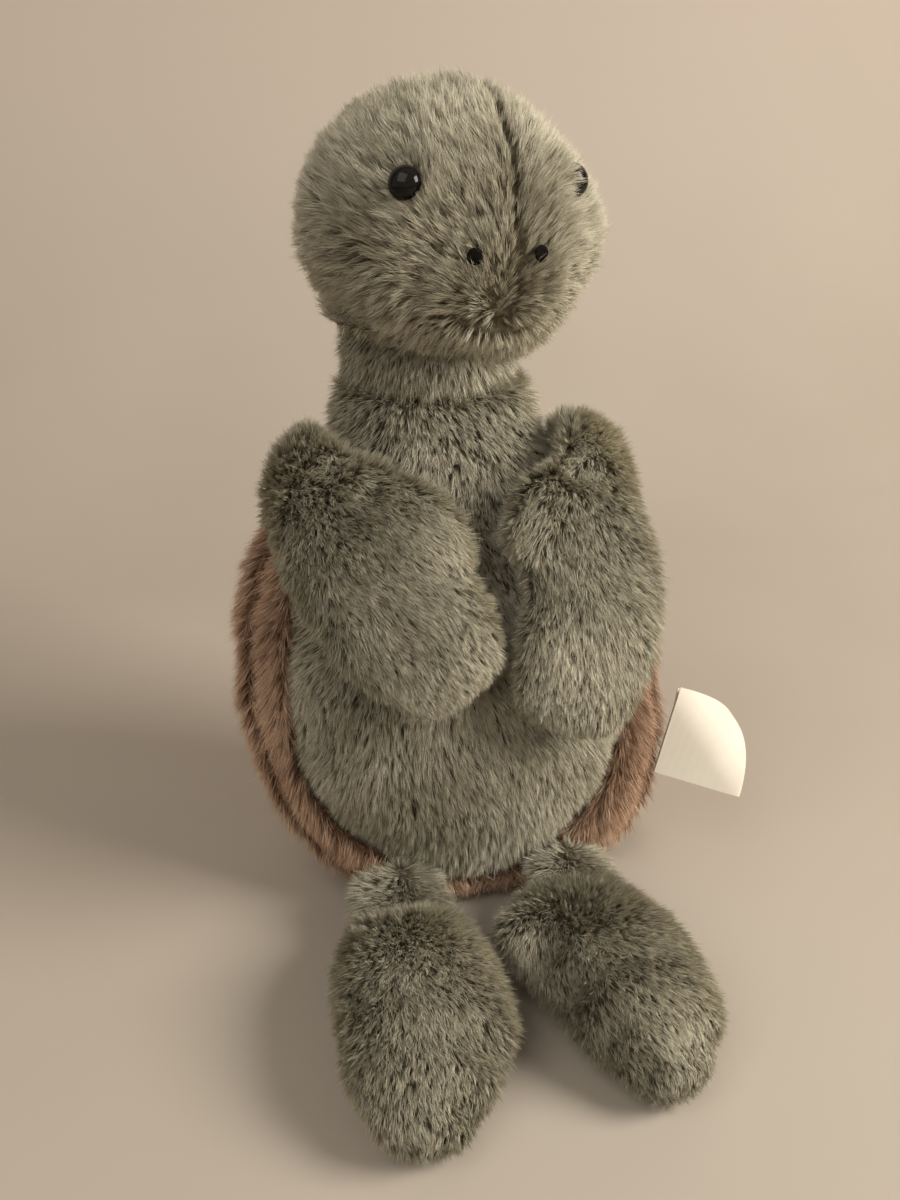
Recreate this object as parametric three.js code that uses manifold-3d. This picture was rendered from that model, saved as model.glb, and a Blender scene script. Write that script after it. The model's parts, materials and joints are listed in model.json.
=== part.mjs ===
// Plush turtle, sitting up, in millimetres. +Z is up, the toy faces -Y, and its left hand is at +X.
// The origin lies on the floor, under the front of the seat's middle line.
// Covers are sewn fabric skins, drawn at their backing. The pile of the fabric is left out.

import * as THREE from 'three';
import { mergeVertices } from 'three/addons/utils/BufferGeometryUtils.js';
import Module from 'manifold-3d';

const wasm = await Module();
wasm.setup();

// Sewing

const SKIN = 2; // backing and root of the pile
const GAP = 0.3; // between sewn or touching pieces
const FILL_GAP = 0.6; // between a cover and the stuffing behind it
const SHELL_FILL_GAP = 1.6; // the same in the shell, whose stuffing is packed loosely
const OVERRUN = 90; // how far cutting blocks run past what they cut
const FLOOR_CUT = 0.5; // how deep a resting form is pressed flat

// Body, measured along a line that leans back from the seat

const LEAN_DEG = 15; // backwards
const LIST_DEG = 2.5; // towards its right hand
const BODY_ORIGIN_Y = -20;
const BODY_BOTTOM = 17;
const BODY_TOP = 168;
const BODY_WIDTH = 108;
const BODY_DEPTH = 66;
const BODY_CAP = 9;

// Neck and head

const NECK_RADIUS = 25;
const NECK_X = -7;
const NECK_Y = 22.5;
const NECK_CENTRE_Z = 168;
const NECK_BASE_Z = 160;
const NECK_OPENING_RADIUS = 15;

const HEAD_LENGTH = 72; // between the round ends
const HEAD_WIDTH = 86;
const HEAD_HEIGHT = 77;
const HEAD_CENTRE_Z = 202;
const HEAD_SHIFT_X = 6; // the head sits off the neck's middle by this
const HEAD_YAW_DEG = 9;
const HEAD_PITCH_DEG = 3;
const HEAD_BACK_CAP = 10;
const SNOUT_CAP = 8;
const CHIN_SEAM_DROP = 19;
const CHIN_SEAM_TILT_DEG = 6;

const EYE_RADIUS = 4.3;
const EYE_RISE = 3.4;
const EYE_SEAT = 0.6; // depth of the flat that the eye is pulled into
const EYE_STEM_RADIUS = 1.6;
const EYE_STEM_LENGTH = 10;
const WASHER_RADIUS = 6;
const WASHER_THICKNESS = 1.2;
const WASHER_SEAT = 1.4; // how far the washer lies behind the cover's back
const NOSTRIL_RADIUS = 2.1;
const NOSTRIL_RISE = 0.9;

// Shell

const SHELL_WIDTH = 134;
const SHELL_HEIGHT = 156;
const SHELL_MIDDLE = 76;
const SHELL_DEPTH = 50;
const SHELL_DEEPEST = 54;
const SHELL_TOP_BACK = 27; // the top edge passes behind the neck by this
const SHELL_LIP = 7; // radius of the rolled outer edge
const RIM_INSET = 12.3; // from the shell's outer edge to the middle of the inner roll
const RIM_RADIUS = 6.5;
const RIM_FORWARD = 5;
const SAG_HEIGHT = 22; // below this the seat is pressed out on the floor
const SAG_DEPTH = 3.4; // what would reach this far below the floor is pressed fully flat

// Flippers

const ARM_WIDTH = 48;
const ARM_THICKNESS = 20;
const ARM_SEAM_HALF = 16.5;
const ARM_CLEARANCE = 1.5;
const ARM_TURN_SHARE = 0.8; // how far an arm's width turns from upright to level on its way to the tip
const LEG_LENGTH = 83;
const LEG_WIDTH = 48;
const LEG_THICKNESS = 32;
const LEG_SEAM_HALF = 13;
const HIP_APART = 54;
const HIP_Z = 17;
const HIP_FORWARD = 14; // in front of the lean line
const SEAM_RADIUS = 5; // half thickness of a flipper where it is sewn on
const ARM_SEAM_CLEARANCE = 2.6; // round the sewn edge, for the arm to turn in
const LEG_SEAM_CLEARANCE = 0.7;
const LEG_DROP_DEG = 10; // how far a leg turns down from its place
const FLIPPER_CAP = 7;

// Bean pouch and label

const POUCH_WIDTH = 66;
const POUCH_DEPTH = 40;
const POUCH_HEIGHT = 40;
const POUCH_SKIN = 0.8;
const POUCH_RISE = 22;
const LABEL_SEAT = 1.6; // clear of the rounded edge
const LABEL_WIDTH = 29;
const LABEL_REACH = 29;
const LABEL_THICKNESS = 0.4;
const LABEL_FOLD = 0.8; // half the space between the label's two leaves
const LABEL_Z = 47;
const LABEL_DROOP_DEG = 19;
const LABEL_TURN_DEG = -16;
const LABEL_ROLL_DEG = 50; // of the rolled corner's diagonal, from the reach to the width
const LABEL_ROLL_REACH = 24;
const LABEL_ROLL_RADIUS = 20;

// Facets

const BODY_COLUMNS = 20;
const HEAD_COLUMNS = 20;
const FLIPPER_COLUMNS = 12;
const SHELL_COLUMNS = 24;
const ROUND_SIDES = 12;
const CAP_SHARE = 0.16; // of a form's length in its own measure, for each round end
const CAP_ROWS = 3;
const BODY_ROWS = 8;
const HEAD_ROWS = 7;
const FLIPPER_ROWS = 9;
const SHELL_ROWS = 8;
const RIM_COLUMNS = 36;
const RIM_SIDES = 8;
const NECK_SIDES = 20;
const NECK_STEPS = 3;
const PLUG_STEPS = 2;
const EYE_STEPS = 3;
const FOLD_STEPS = 4;
const LABEL_STEPS = 5;
const DOME_SHARE = 0.8; // of the shell's own measure, before its lip begins
const DOME_POWER = 2.5; // 2 is an ellipse, and more is squarer
const TOP_EDGE_POWER = 2;
const LOW_EDGE_POWERS = { right: 2.3, left: 2.9 }; // where the shell spreads on the floor
const LIP_TURN_DEG = 60;
const TOP_BACK_POWER = 3;

// Tables of shares. Body rows: height, right, left, front and back of the lean line.
const bodyShares = [
  [0.00, 0.27, 0.27, 0.20, 0.16],
  [0.13, 0.43, 0.42, 0.40, 0.34],
  [0.28, 0.50, 0.47, 0.56, 0.42],
  [0.44, 0.49, 0.47, 0.57, 0.42],
  [0.60, 0.43, 0.43, 0.50, 0.40],
  [0.75, 0.36, 0.36, 0.43, 0.37],
  [0.88, 0.29, 0.29, 0.38, 0.36],
  [1.00, 0.23, 0.23, 0.37, 0.37],
];

// Head rows: forward, half width, lift of the middle, above it and below it.
const headShares = [
  [-0.50, 0.25, -0.02, 0.26, 0.28],
  [-0.30, 0.41, -0.02, 0.43, 0.45],
  [-0.08, 0.50, -0.02, 0.52, 0.51],
  [0.12, 0.50, -0.04, 0.51, 0.50],
  [0.30, 0.42, -0.07, 0.45, 0.43],
  [0.43, 0.32, -0.10, 0.35, 0.34],
  [0.50, 0.22, -0.12, 0.23, 0.23],
];

// Where features sit on the head: share of its length in its own measure, and angle round it.
const EYE_SHARE = 0.66;
const EYE_ANGLE_DEG = 45;
const NOSTRIL_SHARE = 0.91;
const NOSTRIL_ANGLE_DEG = 52;

// Arm rows: width on the upper edge, width on the lower edge, outer half and inner half of the thickness.
const armShares = {
  right: [
    [0.29, 0.29, 0.27, 0.27],
    [0.38, 0.34, 0.50, 0.34],
    [0.42, 0.40, 0.54, 0.40],
    [0.53, 0.44, 0.56, 0.44],
    [0.60, 0.47, 0.54, 0.44],
    [0.46, 0.46, 0.52, 0.42],
    [0.34, 0.36, 0.42, 0.36],
  ],
  left: [
    [0.29, 0.29, 0.27, 0.27],
    [0.38, 0.34, 0.50, 0.38],
    [0.44, 0.40, 0.54, 0.44],
    [0.66, 0.44, 0.56, 0.46],
    [0.46, 0.46, 0.54, 0.44],
    [0.40, 0.47, 0.52, 0.42],
    [0.34, 0.38, 0.42, 0.36],
  ],
};

// An arm's path over the body: height, angle round the body from its side to its front, and lift off it.
const armPathShares = {
  right: [
    [0.74, 5, 0.02],
    [0.745, 17, 0.34],
    [0.715, 35, 0.50],
    [0.65, 51, 0.56],
    [0.575, 64, 0.58],
    [0.50, 74, 0.56],
    [0.43, 82, 0.52],
  ],
  left: [
    [0.73, 5, 0.02],
    [0.74, 17, 0.34],
    [0.685, 33, 0.48],
    [0.605, 45, 0.52],
    [0.52, 54, 0.54],
    [0.44, 62, 0.54],
    [0.36, 69, 0.52],
  ],
};

// Leg rows: forward, outward drift, inner width, outer width, above and below the middle.
const legShares = {
  right: [
    [0.00, 0.00, 0.28, 0.28, 0.15, 0.15],
    [0.13, -0.01, 0.31, 0.31, 0.33, 0.36],
    [0.25, 0.00, 0.33, 0.34, 0.36, 0.40],
    [0.36, 0.01, 0.40, 0.45, 0.52, 0.46],
    [0.52, 0.02, 0.46, 0.48, 0.56, 0.48],
    [0.68, 0.02, 0.50, 0.47, 0.54, 0.48],
    [0.84, 0.03, 0.46, 0.46, 0.48, 0.46],
    [1.00, 0.06, 0.28, 0.32, 0.34, 0.34],
  ],
  left: [
    [0.00, 0.00, 0.28, 0.28, 0.15, 0.15],
    [0.13, 0.01, 0.31, 0.31, 0.33, 0.36],
    [0.25, 0.00, 0.40, 0.34, 0.36, 0.40],
    [0.36, -0.02, 0.62, 0.43, 0.52, 0.46],
    [0.52, -0.01, 0.50, 0.47, 0.56, 0.48],
    [0.68, 0.01, 0.42, 0.48, 0.54, 0.48],
    [0.84, 0.05, 0.38, 0.46, 0.48, 0.46],
    [0.97, 0.07, 0.28, 0.30, 0.34, 0.34],
  ],
};

const SIDES = { right: -1, left: 1 };
const { PI, cos, sin, min, max, pow, sqrt } = Math;
const rad = THREE.MathUtils.degToRad;
const vec = (x, y, z) => new THREE.Vector3(x, y, z);

const bodyUp = vec(-sin(rad(LIST_DEG)), sin(rad(LEAN_DEG)), cos(rad(LEAN_DEG))).normalize();
const bodyFront = vec(0, -cos(rad(LEAN_DEG)), sin(rad(LEAN_DEG)));
const bodyOrigin = vec(0, BODY_ORIGIN_Y, 0);

const sage = new THREE.MeshStandardMaterial({ color: 0x8f8a78, roughness: 0.95, metalness: 0 });
const rose = new THREE.MeshStandardMaterial({ color: 0xa08070, roughness: 0.95, metalness: 0 });
const fibre = new THREE.MeshStandardMaterial({ color: 0xf2efe8, roughness: 1, metalness: 0 });
const pellet = new THREE.MeshStandardMaterial({ color: 0xe8e6e0, roughness: 0.6, metalness: 0 });
const lining = new THREE.MeshStandardMaterial({ color: 0xdad6cc, roughness: 0.9, metalness: 0 });
const black = new THREE.MeshStandardMaterial({ color: 0x0b0a0a, roughness: 0.12, metalness: 0 });
const thread = new THREE.MeshStandardMaterial({ color: 0x121010, roughness: 0.6, metalness: 0 });
const white = new THREE.MeshStandardMaterial({ color: 0xe9e5dc, roughness: 0.7, metalness: 0 });

// Smooth values between rows of numbers, for t from 0 to 1
function between(rows, t) {
  const place = min(max(t, 0), 1) * (rows.length - 1);
  const i = min(Math.floor(place), rows.length - 2);
  const f = place - i;
  const row = (k) => rows[min(max(k, 0), rows.length - 1)];
  const [p, q, r, s] = [row(i - 1), row(i), row(i + 1), row(i + 2)];
  return q.map((_, n) => {
    const slope = (r[n] - p[n]) / 2;
    const bend = p[n] - 2.5 * q[n] + 2 * r[n] - s[n] / 2;
    const twist = 1.5 * (q[n] - r[n]) + (s[n] - p[n]) / 2;
    return q[n] + f * (slope + f * (bend + f * twist));
  });
}

// A stuffed form lofted along a path, with a round cap at each end.
// rows hold the path's point and the half sizes to the right, left, rise and fall of it.
function stuffedForm(rows, riseAt, caps) {
  const centre = (t) => vec(...between(rows, t).slice(0, 3));
  const step = 1 / (rows.length * ROUND_SIDES);
  const frameAt = (t) => {
    const along = centre(min(t + step, 1)).sub(centre(max(t - step, 0))).normalize();
    const rise = riseAt(along, t).clone();
    rise.addScaledVector(along, -rise.dot(along)).normalize();
    const side = vec(0, 0, 0).crossVectors(along, rise).normalize();
    return { along, rise, side };
  };
  const form = { frameAt: (u) => frameAt((u - CAP_SHARE) / (1 - 2 * CAP_SHARE)) };
  form.point = (u, angle) => {
    const t = min(max((u - CAP_SHARE) / (1 - 2 * CAP_SHARE), 0), 1);
    const turn = (PI / 2) * min(u / CAP_SHARE, (1 - u) / CAP_SHARE, 1);
    const push = (u < 1 / 2 ? -caps[0] : caps[1]) * cos(turn);
    const { along, rise, side } = frameAt(t);
    const [, , , right, left, up, down] = between(rows, t);
    const across = cos(angle) * (cos(angle) > 0 ? left : right) * sin(turn);
    const above = sin(angle) * (sin(angle) > 0 ? up : down) * sin(turn);
    return centre(t).addScaledVector(along, push).addScaledVector(side, across).addScaledVector(rise, above);
  };
  return form;
}

// The outward normal of a surface given as a function of two measures
function normalOf(point, u, angle, inside) {
  const step = CAP_SHARE / CAP_ROWS / ROUND_SIDES;
  const ahead = point(min(u + step, 1), angle).sub(point(max(u - step, 0), angle));
  const round = point(u, angle + step).sub(point(u, angle - step));
  const normal = ahead.cross(round).normalize();
  return normal.dot(point(u, angle).sub(inside)) < 0 ? normal.negate() : normal;
}

// A form's point moved inwards by a depth, or outwards by a negative one
function insetPoint(form, u, angle, depth) {
  const { along } = form.frameAt(min(max(u, 0), 1));
  if (u <= 0) return form.point(0, 0).addScaledVector(along, depth);
  if (u >= 1) return form.point(1, 0).addScaledVector(along, -depth);
  const inside = form.point(u, angle).add(form.point(u, angle + PI)).multiplyScalar(1 / 2);
  return form.point(u, angle).addScaledVector(normalOf(form.point, u, angle, inside), -depth);
}

function rowPlaces(bodyRows) {
  const bodyShare = 1 - 2 * CAP_SHARE;
  const caps = Array.from({ length: CAP_ROWS }, (_, i) => (CAP_SHARE * i) / CAP_ROWS);
  const body = Array.from({ length: bodyRows + 1 }, (_, i) => CAP_SHARE + (bodyShare * i) / bodyRows);
  return [...caps, ...body, ...caps.map((place) => 1 - place).reverse()];
}

// A closed body from a list of four-cornered faces
function bodyFromFaces(faces) {
  const corners = faces.flatMap(([a, b, c, d]) => [a, b, c, a, c, d]);
  const raw = new THREE.BufferGeometry().setFromPoints(corners);
  const merged = mergeVertices(raw, GAP / 1000);
  const index = Array.from(merged.index.array);
  const kept = [];
  for (let i = 0; i < index.length; i += 3) {
    const [a, b, c] = index.slice(i, i + 3);
    if (a !== b && b !== c && c !== a) kept.push(a, b, c);
  }
  const place = merged.attributes.position;
  const corner = (i) => vec(0, 0, 0).fromBufferAttribute(place, i);
  let volume = 0;
  for (let i = 0; i < kept.length; i += 3) {
    volume += corner(kept[i]).dot(corner(kept[i + 1]).cross(corner(kept[i + 2])));
  }
  merged.setIndex(volume < 0 ? kept.reverse() : kept);
  return merged;
}

function gridFaces(grid, closed) {
  const faces = [];
  for (let i = 0; i + 1 < grid.length; i += 1) {
    const columns = grid[i].length;
    for (let j = 0; j < columns - (closed ? 0 : 1); j += 1) {
      const k = (j + 1) % columns;
      faces.push([grid[i][j], grid[i + 1][j], grid[i + 1][k], grid[i][k]]);
    }
  }
  return faces;
}

// A wall between two grids, closed along every free edge
function wallBetween(outer, inner, closed) {
  const faces = [...gridFaces(outer, closed), ...gridFaces(inner, closed).map((face) => [...face].reverse())];
  const last = outer.length - 1;
  const edge = (a, b, c, d) => faces.push([a, b, c, d]);
  const columns = outer[0].length;
  const end = columns - 1;
  for (let j = 0; j < columns - (closed ? 0 : 1); j += 1) {
    const k = (j + 1) % columns;
    edge(outer[0][j], outer[0][k], inner[0][k], inner[0][j]);
    edge(outer[last][k], outer[last][j], inner[last][j], inner[last][k]);
  }
  if (!closed) {
    for (let i = 0; i < last; i += 1) {
      edge(outer[i + 1][0], outer[i][0], inner[i][0], inner[i + 1][0]);
      edge(outer[i][end], outer[i + 1][end], inner[i + 1][end], inner[i][end]);
    }
  }
  return bodyFromFaces(faces);
}

function formGrid(form, rows, angles, depth) {
  return rowPlaces(rows).map((u) => angles.map((angle) => insetPoint(form, u, angle, depth)));
}

function anglesRound(columns, from = 0) {
  return Array.from({ length: columns }, (_, j) => from + (2 * PI * j) / columns);
}

// The whole form as one solid, at a depth below its surface
function solidForm(form, rows, columns, depth) {
  return bodyFromFaces(gridFaces(formGrid(form, rows, anglesRound(columns), depth), true));
}

// One of the two panels of a cover, from one measure of angle round the form to half a turn on.
// A grown panel is thicker on both faces, to cut what lies against it.
function coverPanel(form, rows, columns, from, apart, grown = 0) {
  const angles = Array.from({ length: columns / 2 + 1 }, (_, j) => from + (2 * PI * j) / columns);
  const places = rowPlaces(rows);
  const shifted = (depth) =>
    formGrid(form, rows, angles, depth).map((row, i) => row.map((point) => point.add(apart(places[i]))));
  return wallBetween(shifted(-grown), shifted(SKIN + grown), false);
}

function toSolid(geometry) {
  const plain = geometry.clone();
  plain.deleteAttribute('normal');
  plain.deleteAttribute('uv');
  const merged = mergeVertices(plain, GAP / 1000);
  const vertProperties = new Float32Array(merged.attributes.position.array);
  const triVerts = new Uint32Array(merged.index.array);
  return new wasm.Manifold(new wasm.Mesh({ numProp: 3, vertProperties, triVerts }));
}

function toGeometry(solid) {
  const mesh = solid.getMesh();
  const geometry = new THREE.BufferGeometry();
  geometry.setAttribute('position', new THREE.BufferAttribute(new Float32Array(mesh.vertProperties), 3));
  geometry.setIndex(new THREE.BufferAttribute(new Uint32Array(mesh.triVerts), 1));
  return geometry;
}

// What is left of a body after the tools are taken from it, without loose crumbs
function cut(geometry, ...tools) {
  const left = tools.reduce((solid, tool) => solid.subtract(toSolid(tool)), toSolid(geometry));
  const parts = left.decompose().sort((a, b) => b.volume() - a.volume());
  return toGeometry(parts[0]);
}

const keep = (geometry, ...tools) =>
  toGeometry(tools.reduce((solid, tool) => solid.intersect(toSolid(tool)), toSolid(geometry)));

// A round peg along a direction, from one depth to another
function peg(radius, point, direction, from, to) {
  const geometry = new THREE.CylinderGeometry(radius, radius, to - from, ROUND_SIDES);
  geometry.translate(0, (from + to) / 2, 0);
  geometry.applyQuaternion(new THREE.Quaternion().setFromUnitVectors(vec(0, 1, 0), direction));
  return geometry.translate(point.x, point.y, point.z);
}

function turned(outline, point, direction, sides = ROUND_SIDES) {
  const geometry = new THREE.LatheGeometry(outline.map(([r, h]) => new THREE.Vector2(r, h)), sides);
  geometry.applyQuaternion(new THREE.Quaternion().setFromUnitVectors(vec(0, 1, 0), direction));
  return geometry.translate(point.x, point.y, point.z);
}

function block(low, high) {
  const size = high.clone().sub(low);
  const middle = high.clone().add(low).multiplyScalar(1 / 2);
  return new THREE.BoxGeometry(size.x, size.y, size.z).translate(middle.x, middle.y, middle.z);
}

function floorBlock() {
  const wide = SHELL_WIDTH + LEG_LENGTH + OVERRUN;
  return block(vec(-wide, -wide, -OVERRUN), vec(wide, wide, 0));
}

const group = new THREE.Group();

function add(parent, name, geometry, material) {
  const mesh = new THREE.Mesh(geometry, material);
  mesh.name = name;
  parent.add(mesh);
  return mesh;
}

// A point given along the leaning body: across, up it and in front of it
function bodyPoint(across, up, front) {
  const level = bodyOrigin.clone().add(vec(across, 0, 0));
  return level.addScaledVector(bodyUp, up).addScaledVector(bodyFront, front);
}

function bodyForm() {
  const rows = bodyShares.map(([height, right, left, front, back]) => {
    const place = bodyPoint(0, BODY_BOTTOM + height * (BODY_TOP - BODY_BOTTOM), 0);
    return [place.x, place.y, place.z,
      right * BODY_WIDTH, left * BODY_WIDTH, front * BODY_DEPTH, back * BODY_DEPTH];
  });
  return stuffedForm(rows, () => bodyFront, [BODY_CAP, BODY_CAP]);
}

// A place on the body's surface: share of its height, degrees from the toy's side to its front, and lift
function onBody(body, height, degrees, side, lift) {
  const u = CAP_SHARE + (1 - 2 * CAP_SHARE) * height;
  const angle = side > 0 ? rad(degrees) : PI - rad(degrees);
  return insetPoint(body, u, angle, -lift);
}

function armForm(body, name) {
  const side = SIDES[name];
  const path = armPathShares[name];
  const rows = armShares[name].map(([upper, lower, outer, inner], i) => {
    const [height, degrees, lift] = path[i];
    const place = onBody(body, height, degrees, side, lift * ARM_THICKNESS + (i > 0 ? ARM_CLEARANCE : 0));
    const widths = side > 0 ? [lower, upper] : [upper, lower];
    return [place.x, place.y, place.z, widths[0] * ARM_WIDTH, widths[1] * ARM_WIDTH,
      outer * ARM_THICKNESS, inner * ARM_THICKNESS];
  });
  const inward = vec(-side, 0, 0);
  const riseAt = (along, t) =>
    bodyUp.clone().lerp(inward, ARM_TURN_SHARE * t).multiplyScalar(side).cross(along);
  return stuffedForm(rows, riseAt, [SEAM_RADIUS, FLIPPER_CAP]);
}

function legForm(name) {
  const side = SIDES[name];
  const drop = (share) => share * LEG_THICKNESS - FLOOR_CUT;
  const hipY = bodyPoint(0, HIP_Z, 0).y;
  const rows = legShares[name].map(([forward, drift, inner, outer, above, below], i) => {
    const x = side * (HIP_APART / 2 + drift * LEG_LENGTH);
    const z = i === 0 ? HIP_Z : drop(below);
    const widths = side > 0 ? [outer, inner] : [inner, outer];
    return [x, hipY - HIP_FORWARD - forward * LEG_LENGTH, z,
      widths[0] * LEG_WIDTH, widths[1] * LEG_WIDTH, above * LEG_THICKNESS, below * LEG_THICKNESS];
  });
  return stuffedForm(rows, () => vec(0, 0, 1), [SEAM_RADIUS, FLIPPER_CAP]);
}

// The shell's outline, across and up the body, at an angle from its top towards its left
function shellEdge(angle, halfWidth, halfHeight) {
  const power = cos(angle) > 0 ? TOP_EDGE_POWER : LOW_EDGE_POWERS[sin(angle) > 0 ? 'left' : 'right'];
  const squared = (value) => Math.sign(value) * pow(Math.abs(value), 2 / power);
  return [halfWidth * squared(sin(angle)), SHELL_MIDDLE + halfHeight * squared(cos(angle))];
}

// The shell's dome and rolled lip, from its deepest point to the end of the lip.
// Low down it is pressed out on the floor by its own weight.
function shellPoint(share, angle, inset) {
  const halfWidth = SHELL_WIDTH / 2 - inset;
  const [edgeAcross, edgeUp] = shellEdge(angle, halfWidth, SHELL_HEIGHT / 2 - inset);
  const turn = (PI / 2) * min(share / DOME_SHARE, 1);
  const out = pow(sin(turn), 2 / DOME_POWER);
  const deep = (SHELL_DEPTH - inset) * pow(max(cos(turn), 0), 2 / DOME_POWER);
  const roll = rad((LIP_TURN_DEG * max(share - DOME_SHARE, 0)) / (1 - DOME_SHARE));
  const lip = max(SHELL_LIP - inset, GAP);
  const reach = Math.hypot(edgeAcross, edgeUp - SHELL_DEEPEST);
  const shrink = out * (1 - (lip * (1 - cos(roll))) / reach);
  const up = SHELL_DEEPEST + (edgeUp - SHELL_DEEPEST) * shrink;
  const front = lip * sin(roll) - deep - topBack(angle) * out * out;
  return pressed(bodyPoint(edgeAcross * shrink, up, front), inset);
}

// How far the shell's edge lies behind the lean line's plane, which it does only near its top
function topBack(angle) {
  return SHELL_TOP_BACK * pow(max(cos(angle), 0), TOP_BACK_POWER);
}

// A point moved up where it would lie low, so that the underside ends just below the floor
function pressed(point, inset) {
  const low = -SAG_DEPTH;
  const floor = inset - FLOOR_CUT;
  if (point.z < SAG_HEIGHT) {
    const power = (SAG_HEIGHT - low) / (SAG_HEIGHT - floor);
    const share = max(point.z - low, 0) / (SAG_HEIGHT - low);
    point.z = floor + (SAG_HEIGHT - floor) * pow(share, power);
  }
  return point;
}

function shellGrid(inset, columns = SHELL_COLUMNS) {
  const shares = Array.from({ length: SHELL_ROWS + 1 }, (_, i) => i / SHELL_ROWS);
  return shares.map((share) => anglesRound(columns).map((angle) => shellPoint(share, angle, inset)));
}

// The room inside the shell, closed by a flat front
function shellRoom(inset) {
  const grid = shellGrid(inset, SHELL_COLUMNS / 2);
  const front = bodyPoint(0, SHELL_MIDDLE, SHELL_LIP - inset);
  return bodyFromFaces(gridFaces([...grid, grid[0].map(() => front)], true));
}

// The inner roll of the shell's edge, sewn in beside the body
function rimRoll(grown) {
  const around = anglesRound(RIM_COLUMNS);
  const section = anglesRound(RIM_SIDES);
  const grid = around.map((angle) => {
    const halfWidth = SHELL_WIDTH / 2 - RIM_INSET;
    const halfHeight = SHELL_HEIGHT / 2 - RIM_INSET;
    return section.map((turn) => {
      const out = (RIM_RADIUS + grown) * cos(turn);
      const [across, up] = shellEdge(angle, halfWidth + out, halfHeight + out);
      const front = RIM_FORWARD - topBack(angle) + (RIM_RADIUS + grown) * sin(turn);
      return pressed(bodyPoint(across, up, front), -grown);
    });
  });
  return bodyFromFaces(gridFaces([...grid, grid[0]], true));
}

const torso = new THREE.Group();
const neck = new THREE.Group();
const head = new THREE.Group();
group.add(torso, neck, head);

const body = bodyForm();
const grownTorso = solidForm(body, BODY_ROWS, BODY_COLUMNS, -GAP);
const grownRim = rimRoll(GAP);
const arms = { right: armForm(body, 'right'), left: armForm(body, 'left') };
const legs = { right: legForm('right'), left: legForm('left') };

// A limb's hinge: the middle of its sewn edge and the line along that edge
function hingeOf(form) {
  const { side, along } = form.frameAt(CAP_SHARE);
  return { middle: form.point(0, 0).addScaledVector(along, SEAM_RADIUS), line: side };
}

// The hollow that a limb's sewn edge turns in
function seamHollow(form, seamHalf, clearance) {
  const { middle, line } = hingeOf(form);
  const round = SEAM_RADIUS + clearance;
  const geometry = new THREE.SphereGeometry(1, ROUND_SIDES, ROUND_SIDES / 2);
  geometry.scale(round, seamHalf + clearance, round);
  geometry.applyQuaternion(new THREE.Quaternion().setFromUnitVectors(vec(0, 1, 0), line));
  return geometry.translate(middle.x, middle.y, middle.z);
}

const hollows = [
  seamHollow(arms.right, ARM_SEAM_HALF, ARM_SEAM_CLEARANCE),
  seamHollow(arms.left, ARM_SEAM_HALF, ARM_SEAM_CLEARANCE),
  seamHollow(legs.right, LEG_SEAM_HALF, LEG_SEAM_CLEARANCE),
  seamHollow(legs.left, LEG_SEAM_HALF, LEG_SEAM_CLEARANCE),
];

// A leg as it lies when turned down, grown by the gap, to dent what it then touches
function droppedLeg(form) {
  const { middle, line } = hingeOf(form);
  const leg = solidForm(form, FLIPPER_ROWS, FLIPPER_COLUMNS, -GAP).translate(-middle.x, -middle.y, -middle.z);
  leg.applyQuaternion(new THREE.Quaternion().setFromAxisAngle(line, -rad(LEG_DROP_DEG)));
  return leg.translate(middle.x, middle.y, middle.z);
}

const dents = [droppedLeg(legs.right), droppedLeg(legs.left)];

const aboveNeckBase = block(
  vec(-OVERRUN, -OVERRUN, NECK_BASE_Z - GAP),
  vec(OVERRUN, OVERRUN, NECK_BASE_Z + OVERRUN),
);

function addTorso() {
  const apart = (amount) => () => bodyFront.clone().multiplyScalar(amount);
  const front = coverPanel(body, BODY_ROWS, BODY_COLUMNS, 0, apart(GAP / 2));
  const back = coverPanel(body, BODY_ROWS, BODY_COLUMNS, PI, apart(-GAP / 2));
  add(torso, 'belly_panel', cut(front, aboveNeckBase, ...hollows), sage);
  add(torso, 'back_panel', cut(back, aboveNeckBase, ...hollows), sage);

  const inside = solidForm(body, BODY_ROWS, BODY_COLUMNS / 2, SKIN + FILL_GAP);
  const pouch = (inset) => {
    const shape = new THREE.SphereGeometry(1, ROUND_SIDES, ROUND_SIDES / 2);
    shape.scale(POUCH_WIDTH / 2 - inset, POUCH_DEPTH / 2 - inset, POUCH_HEIGHT / 2 - inset);
    const middle = bodyPoint(0, POUCH_RISE, 0);
    return shape.translate(middle.x, middle.y, middle.z);
  };
  const room = (inset) => solidForm(body, BODY_ROWS, BODY_COLUMNS / 2, SKIN + FILL_GAP + inset);
  add(torso, 'body_stuffing', cut(inside, pouch(-GAP), aboveNeckBase, ...hollows), fibre);
  const seamZ = bodyPoint(0, POUCH_RISE, 0).z;
  const over = block(vec(-OVERRUN, -OVERRUN, seamZ + GAP / 2), vec(OVERRUN, OVERRUN, OVERRUN));
  const under = block(vec(-OVERRUN, -OVERRUN, -OVERRUN), vec(OVERRUN, OVERRUN, seamZ - GAP / 2));
  const bag = (half) =>
    cut(keep(pouch(0), room(0), half), keep(pouch(POUCH_SKIN), room(POUCH_SKIN)), ...hollows);
  add(torso, 'bean_pouch_top', bag(over), lining);
  add(torso, 'bean_pouch_bottom', bag(under), lining);
  const grains = POUCH_SKIN + GAP;
  add(torso, 'beans', cut(keep(pouch(grains), room(grains)), ...hollows), pellet);
}

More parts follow.
